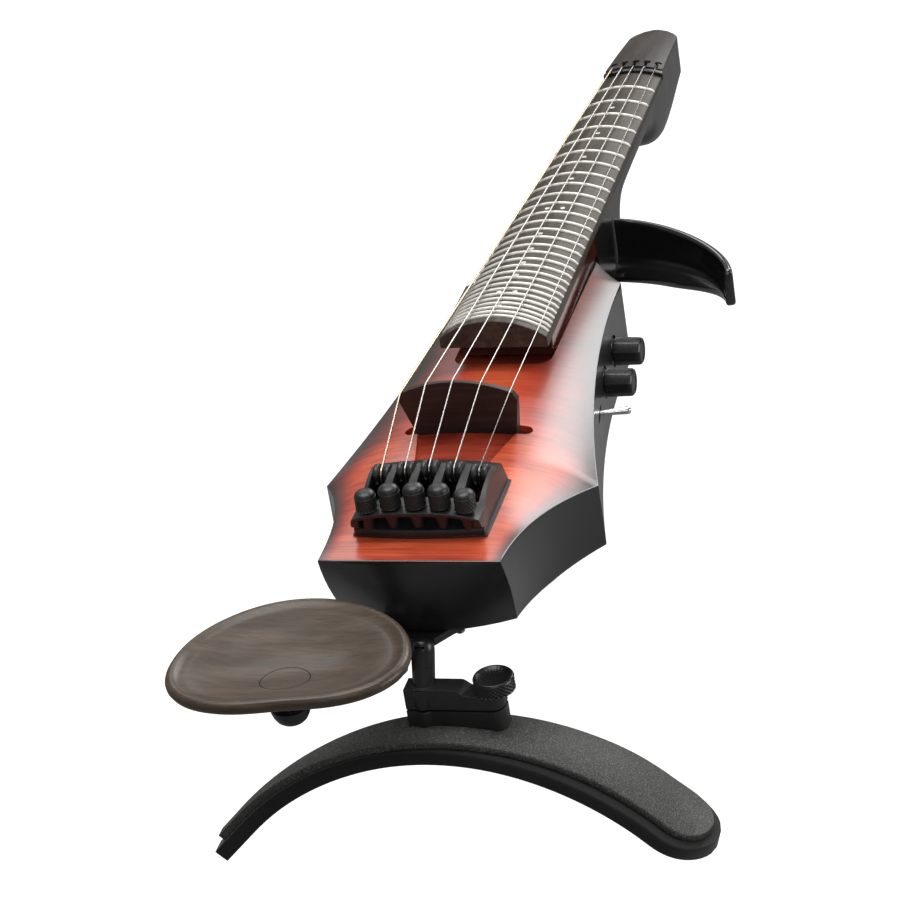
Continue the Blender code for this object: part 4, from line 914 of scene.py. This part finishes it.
def tuner_frame():
    """Housing with a sloped tray and a post under each knob, and the skirt it stands on."""
    half = 24.1
    rings = [frame_ring(half * u / 14, half) for u in range(-14, 15)]
    obj = piece("tuner_body", loft(rings), ANODISED, "violin", ("tuner_frame",), hard=True)
    tray = []
    for k in range(-8, 9):
        x = 21.3 * k / 8
        roof = knob_seat(x) - 1.8
        tray.append([(x, -76.0, 40.1), (x, -66.2, 40.1), (x, -65.4, 39.6), (x, -60.2, 41.7), (x, -59.2, 42.9),
                     (x, -59.0, roof), (x, -76.0, roof)])
    tools, posts = [loft(tray)], []
    for i in range(5):
        x = string_x(i, PITCH_ROLLER)
        bay = [(x - 2.9, -56.2), (x - 2.2, -56.9), (x + 2.2, -56.9), (x + 2.9, -56.2), (x + 3.45, -35.2),
               (x + 2.8, -34.4), (x - 2.8, -34.4), (x - 3.45, -35.2)]
        tools.append(prism(bay, 30.0, 60.0))
        seat = knob_seat(x) - 0.3
        tools.append(lathe([(30.0, 1.7), (seat, 1.7), (seat, 4.3), (60.0, 4.3)], (x, KNOB_Y, 0.0), "Z", 32))
        posts.append(lathe([(39.2, 2.3), (42.5, 2.6), (seat - 1.3, 3.6)], (x, KNOB_Y, 0.0), "Z", 24))
    cut(obj, tools)
    bevel(obj, 0.2, 2, 32)
    piece("tuner_bosses", merge(*posts), ANODISED, "violin")
    foot = piece("tuner_skirt", skirt_shape(half + 0.8), ANODISED, "violin", hard=True)
    cut(foot, [box(-21.8, 21.8, -62.4, -33.0, 30.0, 50.0)] + shaft_bores(30.0, 50.0, 1.7))


def skirt_shape(half):
    """Thin gasket that follows the arched top under the housing."""
    rings = []
    for k in range(-14, 15):
        u = k / 14
        x, tail = half * u, -66.1 + 2.4 * u ** 2
        foot = base_z(x, tail)
        lifts = ((-58.0, 1.2), (-45.0, 1.2), (-27.0, 1.0), (-26.6, 0.7), (-26.6, 0.02), (-45.0, 0.02),
                 (-58.0, 0.02))
        rings.append([(x, tail, foot + 0.02), (x, tail, foot + 0.7), (x, tail + 0.5, foot + 1.1)]
                     + [(x, y, base_z(x, y) + lift) for y, lift in lifts])
    return loft(rings)


def knurl(start, end, count, depth, pitch):
    """Radius rule for a diamond knurl between two heights."""
    def shape(angle, along, radius):
        if not start < along < end:
            return radius
        a = math.sin(count * angle + along * pitch)
        b = math.sin(count * angle - along * pitch)
        return radius - depth * (0.5 - 0.25 * (a + b))
    return shape


def tuner_parts():
    rim = [(0.45, 2.2), (0.8, 2.6), (1.15, 3.55), (1.5, 3.8), (2.6, 3.8), (2.95, 3.6), (3.1, 3.2),
           (3.15, 0.9), (3.6, 0.9)]
    profile = [(-a, r) for a, r in reversed(rim)] + rim
    for i in range(5):
        x = string_x(i, PITCH_ROLLER)
        wheel = lathe(profile, (x, ROLLER_Y, ROLLER_Z[i]), "X", 48)
        piece(f"roller_wheel_{i + 1}", wheel, ANODISED, f"roller_{i + 1}", (f"roller_{i + 1}",), 40.0)
        node = f"tuner_knob_{i + 1}"
        piece(f"knob_{i + 1}", knob_shape(x), ANODISED, node, (node,), 50.0)


def knob_shape(x):
    """Tuner knob: short skirt, knurled band and a soft dome. The outer knobs stand lower."""
    seat, wide, neck_wide = knob_seat(x), 3.95, 3.7
    tall = lerp(9.0, 7.8, (KNOB_Z - seat) / 1.4)
    low, high = seat + 0.4, seat + 0.7 * tall
    profile = [(seat + 0.05, 3.4), (seat + 0.1, neck_wide), (low, wide)]
    profile += [(lerp(low + 0.05, high, k / 26), wide) for k in range(27)]
    profile += [(high + 0.12, 3.8), (high + 0.4, neck_wide)]
    for degrees in range(0, 90, 9):
        a = math.radians(degrees)
        profile.append((high + 0.45 + (0.3 * tall - 0.55) * math.sin(a), neck_wide * math.cos(a) ** 0.8))
    profile.append((seat + tall - 0.1, 0.3))
    return lathe(profile, (x, KNOB_Y, 0.0), "Z", 160, knurl(low + 0.2, high - 0.1, 20, 0.42, 3.6))


# ---- controls

def facets(count, soft):
    """Radius rule for flat-sided grips with softened corners."""
    def shape(angle, along, radius):
        step = 2 * math.pi / count
        a = (angle % step) - step / 2
        flat = math.cos(step / 2) / math.cos(a)
        return radius * lerp(flat, 1.0, soft)
    return shape


def controls():
    for name, y in (("volume", VOLUME_Y), ("tone", TONE_Y)):
        wall = wall_x(y)
        profile = [(-1.0, 2.2), (0.2, 2.2), (0.25, 5.0), (0.5, 5.3), (0.9, 5.5)]
        profile += [(lerp(1.0, 10.4, k / 8), lerp(5.85, 5.6, k / 8)) for k in range(9)]
        profile += [(11.1, 5.4), (11.45, 5.05), (11.6, 4.6), (11.45, 4.1), (11.2, 3.7), (11.2, 0.4)]
        grip = lambda a, along, r: facets(9, 0.35)(a, along, r) if 0.8 < along < 11.55 and r > 4.4 else r
        place, node = (wall, y, CONTROL_Z), f"{name}_knob"
        piece(f"{name}_grip", lathe(profile, place, "X", 144, grip), PLASTIC, node, (node,), 28.0)
        mark = box(wall + 9.7, wall + 11.7, y - 0.35, y + 0.35, CONTROL_Z + 3.7, CONTROL_Z + 5.6)
        bevel(piece(f"{name}_pointer", mark, PLASTIC, node), 0.15, 2)
        ring = lathe([(-1.3, 5.9), (-0.6, 5.9), (-0.6, 3.2), (-1.3, 3.2)], place, "X", 6)
        bevel(piece(f"{name}_collar", ring, PLASTIC, "violin"), 0.2, 2)
    wall = wall_x(TOGGLE_Y)
    pivot = Vector((wall - 3.0, TOGGLE_Y, CONTROL_Z))
    tilt = math.radians(13.0)
    ahead = Vector((math.cos(tilt), math.sin(tilt), 0.0))
    stations = [(-0.9, 0.8), (2.5, 0.9), (4.0, 1.0), (9.0, 1.3), (12.5, 1.52), (13.6, 1.58), (14.4, 1.42),
                (14.9, 1.0), (15.05, 0.35)]
    bat = tube([tuple(pivot + ahead * a) for a, _ in stations], lambda i: stations[i][1], 32)
    piece("toggle_bat", bat, CHROME, "toggle_lever", ("toggle_lever",), 60.0)


# ---- upper bout arm

def arm_point(t):
    w = ((1 - t) ** 3, 3 * t * (1 - t) ** 2, 3 * t * t * (1 - t), t ** 3)
    return [sum(a * p[k] for a, p in zip(w, BOUT_PLAN)) for k in (0, 1)]


def arm_section(t):
    """Section of the arm as (distance inwards, height): thin wall on a lip that narrows towards the tip."""
    low = lerp(12.0, 20.3, smooth(t))
    lip = lerp(13.0, 4.0, smooth((t - 0.45) / 0.55))
    mid, shoulder = lerp(low, BOUT_TOP, 0.42), BOUT_TOP - 2.2
    outer = [(0.0, mid), (0.0, BOUT_TOP - 1.5), (0.2, BOUT_TOP - 0.7), (0.7, BOUT_TOP - 0.2), (1.4, BOUT_TOP)]
    inner = [(BOUT_WALL - 1.2, BOUT_TOP - 0.05), (BOUT_WALL - 0.5, BOUT_TOP - 0.4),
             (BOUT_WALL - 0.05, BOUT_TOP - 1.2), (BOUT_WALL, shoulder)]
    inner += [(BOUT_WALL, lerp(shoulder, mid + 3.0, k / 4)) for k in (1, 2, 3, 4)]
    for k in range(1, 9):
        a = math.pi / 2 * k / 8
        out, down = (1 - math.cos(a)) ** 1.2, math.sin(a) ** 0.8
        inner.append((lerp(BOUT_WALL, lip, out), lerp(mid + 3.0, low + 3.0, down)))
    under = [(lip + 0.1, low + 1.6), (lip - 0.2, low + 0.5), (lip - 0.9, low), (1.2, low), (0.3, low + 0.4),
             (0.0, low + 1.4)]
    return outer + inner + under


def upper_bout_arm():
    """Curved stop that leaves the neck square, follows its plan and ends in a rounded tip."""
    rings, steps = [], 56
    for i in range(steps + 1):
        t = i / steps
        x, y = arm_point(t)
        ax, ay = arm_point(min(t + 0.01, 1.0))
        bx, by = arm_point(max(t - 0.01, 0.0))
        length = math.hypot(ax - bx, ay - by)
        nx, ny = (ay - by) / length, -(ax - bx) / length
        nx, ny = lerp(0.0, nx, smooth(t / 0.06)), lerp(-1.0, ny, smooth(t / 0.06))
        rings.append([(x + nx * off, y + ny * off, z) for off, z in arm_section(t)])
    heart = [sum(c) / len(rings[-1]) for c in zip(*rings[-1])]
    for ahead, size in ((0.7, 0.88), (1.2, 0.62), (1.45, 0.3)):
        rings.append([(lerp(heart[0], x, size), lerp(heart[1], y, size) - ahead, lerp(heart[2], z, size))
                      for x, y, z in rings[steps]])
    piece("bout_arm", loft(rings), BLACK, "violin", ("upper_bout_arm",), 60.0)


# ---- chin rest

def dish_ring(shrink, z, sides=120):
    """Lopsided oval, drawn in by shrink."""
    a, b = (half - shrink for half in DISH_HALF)
    ring = []
    for i in range(sides):
        t = 2 * math.pi * i / sides
        c, s = math.cos(t - DISH_YAW), math.sin(t - DISH_YAW)
        r = 1.0 / (abs(c / a) ** DISH_POWER + abs(s / b) ** DISH_POWER) ** (1 / DISH_POWER)
        r *= 1.0 + DISH_LOBE * math.cos(3.0 * (t + DISH_LOBE_TURN))
        ring.append((DISH_CENTRE[0] + r * math.cos(t), DISH_CENTRE[1] + r * math.sin(t), z))
    return ring


def chin_dish():
    """Hollowed wooden dish with a round-edged rim and a fine ring groove over the post."""
    top, deep = DISH_TOP, DISH_DEEP
    under = [(29.0, deep - 4.6), (20.0, deep - 4.3), (12.0, deep - 3.2), (6.0, top - 6.9), (2.4, top - 5.4),
             (0.8, top - 4.2), (0.1, top - 2.9), (0.0, top - 1.8), (0.35, top - 0.9), (1.0, top - 0.25),
             (1.8, top)]
    upper = [(2.7, top - 0.1), (3.6, top - 0.6), (5.0, top - 1.35)]
    for shrink in (7, 9, 12, 15, 18, 21, 25, 29):
        upper.append((shrink, lerp(top - 1.35, deep + 0.1, smooth((shrink - 5.0) / 24.0) ** 0.8)))
    dish = piece("chin_dish_wood", loft([dish_ring(*r) for r in under + upper]), DISH_WOOD, "chin_dish",
                 ("chin_dish", "chin_plug"), 50.0)
    n = 96
    points, faces = lathe([(19.0, 8.9), (30.0, 8.9), (30.0, 8.62), (19.0, 8.62)], (*CHIN_POST, 0.0), "Z", n)
    faces = [f for f in faces if len(f) == 4]
    faces += [(3 * n + i, 3 * n + (i + 1) % n, (i + 1) % n, i) for i in range(n)]
    cut(dish, [(points, faces)])


def chin_arm():
    """Bar from the pivot under the tail up to the boss that carries the dish."""
    px, py = CHIN_POST
    bx, by = CHIN_PIVOT
    length = math.hypot(px - bx, py - by)
    dx, dy = (px - bx) / length, (py - by) / length
    rows = [(-5.2, 2.0, -12.8, -4.2), (-4.2, 4.0, -12.8, -4.1), (-2.0, 5.2, -12.8, -4.0),
            (1.0, 5.4, -12.8, -4.0), (10.0, 4.8, -11.5, -4.0), (length * 0.45, 5.0, -2.5, 5.5),
            (length - 8.0, 6.0, 4.8, 11.0)]
    rings = []
    for along, half, low, high in blend_rows(rows, 4):
        cx, cy = bx + dx * along, by + dy * along
        ring = []
        for k in range(24):
            c, s = squared(2 * math.pi * k / 24, 0.45)
            ring.append((cx - dy * half * c, cy + dx * half * c, (low + high) / 2 + (high - low) / 2 * s))
        rings.append(ring)
    piece("chin_arm_bar", loft(rings), ANODISED_SATIN, "chin_arm", ("chin_arm",), 50.0)
    profile = [(4.5, 1.0), (4.55, 3.0), (5.0, 4.4), (6.0, 5.5), (7.6, 6.4), (9.5, 7.0), (10.9, 7.0),
               (11.15, 6.6), (11.15, 0.6)]
    piece("chin_boss", lathe(profile, (px, py, 0.0), "Z", 64), ANODISED_SATIN, "chin_arm", (), 40.0)


# ---- bracket and shoulder rest

def bracket():
    """Plate under the tail; the lug on its tongue enters the arm from behind."""
    px, py, _ = ARM_PIVOT
    outline = [(-13.0, -28.0), (13.0, -28.0), (13.0, -60.0), (7.0, -67.7), (2.3, -74.6), (px + 1.4, -74.8),
               (px + 1.4, py), (px - 1.4, py), (px - 1.4, -74.8), (-9.6, -74.8), (-20.5, -77.5),
               (-20.5, -66.0), (-13.0, -56.0)]
    slab = prism(outline, -3.0, -0.1)
    plate = piece("bracket_plate", slab, ANODISED, "violin", ("rest_bracket",), hard=True)
    cut(plate, [lathe([(-1.4, 3.0), (1.4, 3.0)], ARM_PIVOT, "X", 40)], "UNION")
    cut(plate, [lathe([(-5.0, 2.2), (2.0, 2.2)], (-8.0, -36.0, 0.0), "Z", 24)])
    bevel(plate, 0.35, 3, 35)


def jaw_outline():
    (x0, x1), (y0, y1) = JAW_X, JAW_Y
    corner = [(x1 - 4.4 + 4.4 * math.sin(math.radians(a)), y0 + 5.0 - 5.0 * math.cos(math.radians(a)))
              for a in range(0, 91, 10)]
    return [(x0, y0)] + corner + [(x1, y1), (x0, y1)]


def rest_arm():
    top, foot = Vector(ARM_PIVOT), Vector(ARM_FOOT)
    axis = (foot - top).normalized()
    stations = [(-4.6, 0.7), (-4.5, 1.7), (-4.1, 2.8), (-3.3, 3.6), (-2.0, 4.1), (-0.6, 4.3), (0.0, 4.3)]
    path = [tuple(top + axis * a) for a, _ in stations] + [tuple(foot)]
    radii = [r for _, r in stations] + [3.9]
    shape = tube(path, lambda i: radii[i], 56)
    rod = piece("arm_rod", shape, ANODISED_SATIN, "rest_arm", ("rest_arm",), 50.0)
    px, py, pz = ARM_PIVOT
    cut(rod, [box(px - 1.8, px + 1.8, py - 3.3, py + 8.0, pz - 3.7, pz + 3.3)])
    post = lathe([(-20.15, 3.4), (-19.8, 3.8), (-15.0, 3.9), (-12.4, 3.7)], FOOT_POST, "Z", 56)
    piece("arm_foot_post", post, ANODISED_SATIN, "rest_arm")
    low, step, high = -20.2, -14.4, -12.0
    upper = piece("upper_jaw", prism(jaw_outline(), low, high), ANODISED, "rest_arm", (), hard=True)
    relief = []
    for y, x in ((-94.0, 10.6), (-90.0, 11.2), (-82.0, 12.8), (-78.0, 13.6)):
        ring = [(x, high + 1.0), (x, high + 0.01)]
        ring += [(x + 4.4 * k / 6, lerp(high, step, smooth(k / 6))) for k in range(7)]
        relief.append([(a, y, z) for a, z in ring + [(40.0, step), (40.0, high + 1.0)]])
    cut(upper, [loft(relief)])
    bevel(upper, 0.55, 3, 30)


def rest_curve(steps_run=6, steps_arc=48, steps_tip=20):
    """Side view of the rest as (x, z, tilt): straight left end, long arc, up-curled right tip."""
    (left, right), radius, tip = REST_SWEEP, REST_RADIUS, REST_TIP_RADIUS
    cx, cz = REST_CREST[0], REST_CREST[1] - radius
    line = []
    for i in range(steps_run):
        run = REST_RUN * (1 - i / steps_run)
        line.append((cx + radius * math.sin(left) - run * math.cos(left),
                     cz + radius * math.cos(left) + run * math.sin(left), -left))
    for i in range(steps_arc + 1):
        a = lerp(left, right, i / steps_arc)
        line.append((cx + radius * math.sin(a), cz + radius * math.cos(a), -a))
    ex, ez, _ = line[-1]
    tx, tz = ex + tip * math.sin(right), ez + tip * math.cos(right)
    for i in range(1, steps_tip + 1):
        a = right - REST_TIP_TURN * i / steps_tip
        line.append((tx - tip * math.sin(a), tz - tip * math.cos(a), -a))
    return line


def rest_layer(curve, upper, lower, border):
    """Sheet that follows the curve between two depths; it widens to the right and ends in a half round."""
    run = [0.0]
    for a, b in zip(curve, curve[1:]):
        run.append(run[-1] + math.hypot(b[0] - a[0], b[1] - a[1]))
    soft, hard = 0.9, 0.3
    edge = [(-1.0, -soft), (-0.985, -hard), (-0.955, 0.0), (0.0, 0.0), (0.955, 0.0), (0.985, -hard),
            (1.0, -soft)]
    section = [(side, upper + drop) for side, drop in edge]
    section += [(side, lower - drop) for side, drop in reversed(edge)]
    rings = []
    for along, (x, z, tilt) in zip(run, curve):
        t = along / run[-1]
        grow = border * smooth(2.0 * t - 0.7) + 0.3 * border
        front = lerp(*REST_FRONT, smooth(t)) - grow
        back = lerp(*REST_BACK, smooth(t)) - REST_TAPER * (1.0 - smooth(2.2 * t)) + grow
        middle, half = (front + back) / 2, (back - front) / 2
        left = run[-1] - along
        if left < half:
            half *= math.sqrt(max(1 - ((half - left) / half) ** 2, 0.004))
        nx, nz = -math.sin(tilt), math.cos(tilt)
        rings.append([(x + nx * h, middle + side * half, z + nz * h) for side, h in section])
    return loft(rings)


def shoulder_rest():
    """Speckled sheet on a foam pad, and the lower clamp jaw whose underside sits on the arc."""
    curve = rest_curve()
    sheet = rest_layer(curve[2:-3], 0.0, -3.0, 0.0)
    piece("rest_sheet", sheet, SPECKLED, "shoulder_rest", ("rest_plate",), 45.0)
    piece("rest_pad", rest_layer(curve, -3.05, -8.8, 3.5), FOAM, "shoulder_rest", ("rest_foam",), 45.0)
    block = prism(jaw_outline(), -33.0, -20.9)
    jaw = piece("lower_jaw", block, ANODISED, "shoulder_rest", ("clamp_jaw",), hard=True)
    cut(jaw, [lathe([(-33.5, 3.9), (-21.3, 3.9), (-20.9, 3.5)], FOOT_POST, "Z", 56)], "UNION")
    cx, cz = REST_CREST
    below = [(JAW_X[1] + 4.0, -40.0), (JAW_X[0] - 4.0, -40.0)]
    for k in range(13):
        x = lerp(JAW_X[0] - 4.0, JAW_X[1] + 4.0, k / 12)
        below.append((x, cz + 0.02 - REST_RADIUS + math.sqrt(REST_RADIUS ** 2 - (x - cx) ** 2)))
    cut(jaw, [loft([[(x, y, z) for x, z in below] for y in (-96.0, -78.0)])])
    bevel(jaw, 0.4, 3, 30)


def thumb_screw():
    base, top, r = -14.1, -8.2, 7.5
    profile = [(base - 5.0, 1.7), (base, 1.7), (base, 6.8), (base + 0.35, 7.2)]
    profile += [(lerp(base + 0.5, top - 0.9, k / 22), r) for k in range(23)]
    profile += [(top - 0.5, 7.35), (top - 0.15, 7.1), (top, 6.7), (top - 0.15, 6.35), (top - 0.7, 5.8),
                (top - 1.4, 4.0), (top - 1.7, 1.8), (top - 1.75, 0.3)]
    wheel = lathe(profile, (*THUMB, 0.0), "Z", 200, knurl(base + 0.5, top - 1.0, 26, 0.5, 4.2))
    piece("thumb_wheel", wheel, ANODISED_SATIN, "thumb_screw", ("thumb_screw",), 50.0)


# ---- CAD nodes that stay, floor, light and camera

def dress_cad_nodes():
    looks = {"bridge_pickup": ANODISED, "preamp_board": GREEN, "toggle_switch": CHROME, "back_cover": PLASTIC,
             "nut": ANODISED_SATIN}
    for name, obj in NODES.items():
        if obj.hide_render:
            continue
        mat = looks.get(name, STEEL)
        obj.data.materials.clear()
        obj.data.materials.append(mat)
        obj.data.shade_smooth()
        obj.data.set_sharp_from_angle(angle=math.radians(32.0))


def softbox(name, place, target, size, power):
    data = bpy.data.lights.new(name, "AREA")
    data.shape = "RECTANGLE"
    data.size, data.size_y = size
    data.energy = power
    obj = bpy.data.objects.new(name, data)
    obj.location = place
    obj.rotation_euler = (Vector(target) - Vector(place)).to_track_quat("-Z", "Y").to_euler()
    bpy.context.scene.collection.objects.link(obj)


def camera_only(tree, dim):
    """Socket that is 1 where the camera looks straight at it and dim in reflections and bounces."""
    path = tree.nodes.new("ShaderNodeLightPath")
    mix = tree.nodes.new("ShaderNodeMix")
    mix.inputs[2].default_value = dim
    mix.inputs[3].default_value = 1.0
    tree.links.new(path.outputs["Is Camera Ray"], mix.inputs[0])
    return mix.outputs[0]


def stage():
    """Pale floor and background, seen white, that hardly show in the object's reflections."""
    mesh = bpy.data.meshes.new("floor")
    corners = [(x * FLOOR_HALF, y * FLOOR_HALF, FLOOR_Z) for x, y in ((-1, -1), (1, -1), (1, 1), (-1, 1))]
    mesh.from_pydata(corners, [], [(0, 1, 2, 3)])
    floor = bpy.data.objects.new("floor", mesh)
    m = Nodes("pale_floor")
    m.tone(m.noise(3.0, 2.0), 0.18, 0.20)
    m.shader.inputs["Roughness"].default_value = 0.9
    m.shader.inputs["Specular IOR Level"].default_value = 0.0
    m.shader.inputs["Emission Color"].default_value = (1.0, 1.0, 1.0, 1.0)
    m.link(camera_only(m.tree, 0.02), m.shader.inputs["Emission Strength"])
    mesh.materials.append(m.mat)
    bpy.context.scene.collection.objects.link(floor)
    world = bpy.data.worlds.new("studio")
    world.use_nodes = True
    background = world.node_tree.nodes["Background"]
    background.inputs[0].default_value = (1.0, 1.0, 1.0, 1.0)
    world.node_tree.links.new(camera_only(world.node_tree, 0.22), background.inputs[1])
    bpy.context.scene.world = world
    for light in LIGHTS:
        softbox(*light)


def add_camera():
    """Camera at the photograph's viewing angle."""
    camera = bpy.data.cameras.new("camera")
    camera.lens = CAMERA_LENS
    camera.sensor_width = 36.0
    obj = bpy.data.objects.new("camera", camera)
    obj.location = CAMERA_PLACE
    obj.rotation_euler = [math.radians(a) for a in CAMERA_TURN]
    bpy.context.scene.collection.objects.link(obj)
    bpy.context.scene.camera = obj
    bpy.context.scene.view_settings.view_transform = "Standard"


body_shell()
burst_top()
neck()
fingerboard()
nut_and_head()
bridge()
strings()
tuner_frame()
tuner_parts()
controls()
upper_bout_arm()
chin_dish()
chin_arm()
bracket()
rest_arm()
shoulder_rest()
thumb_screw()
dress_cad_nodes()
stage()
add_camera()
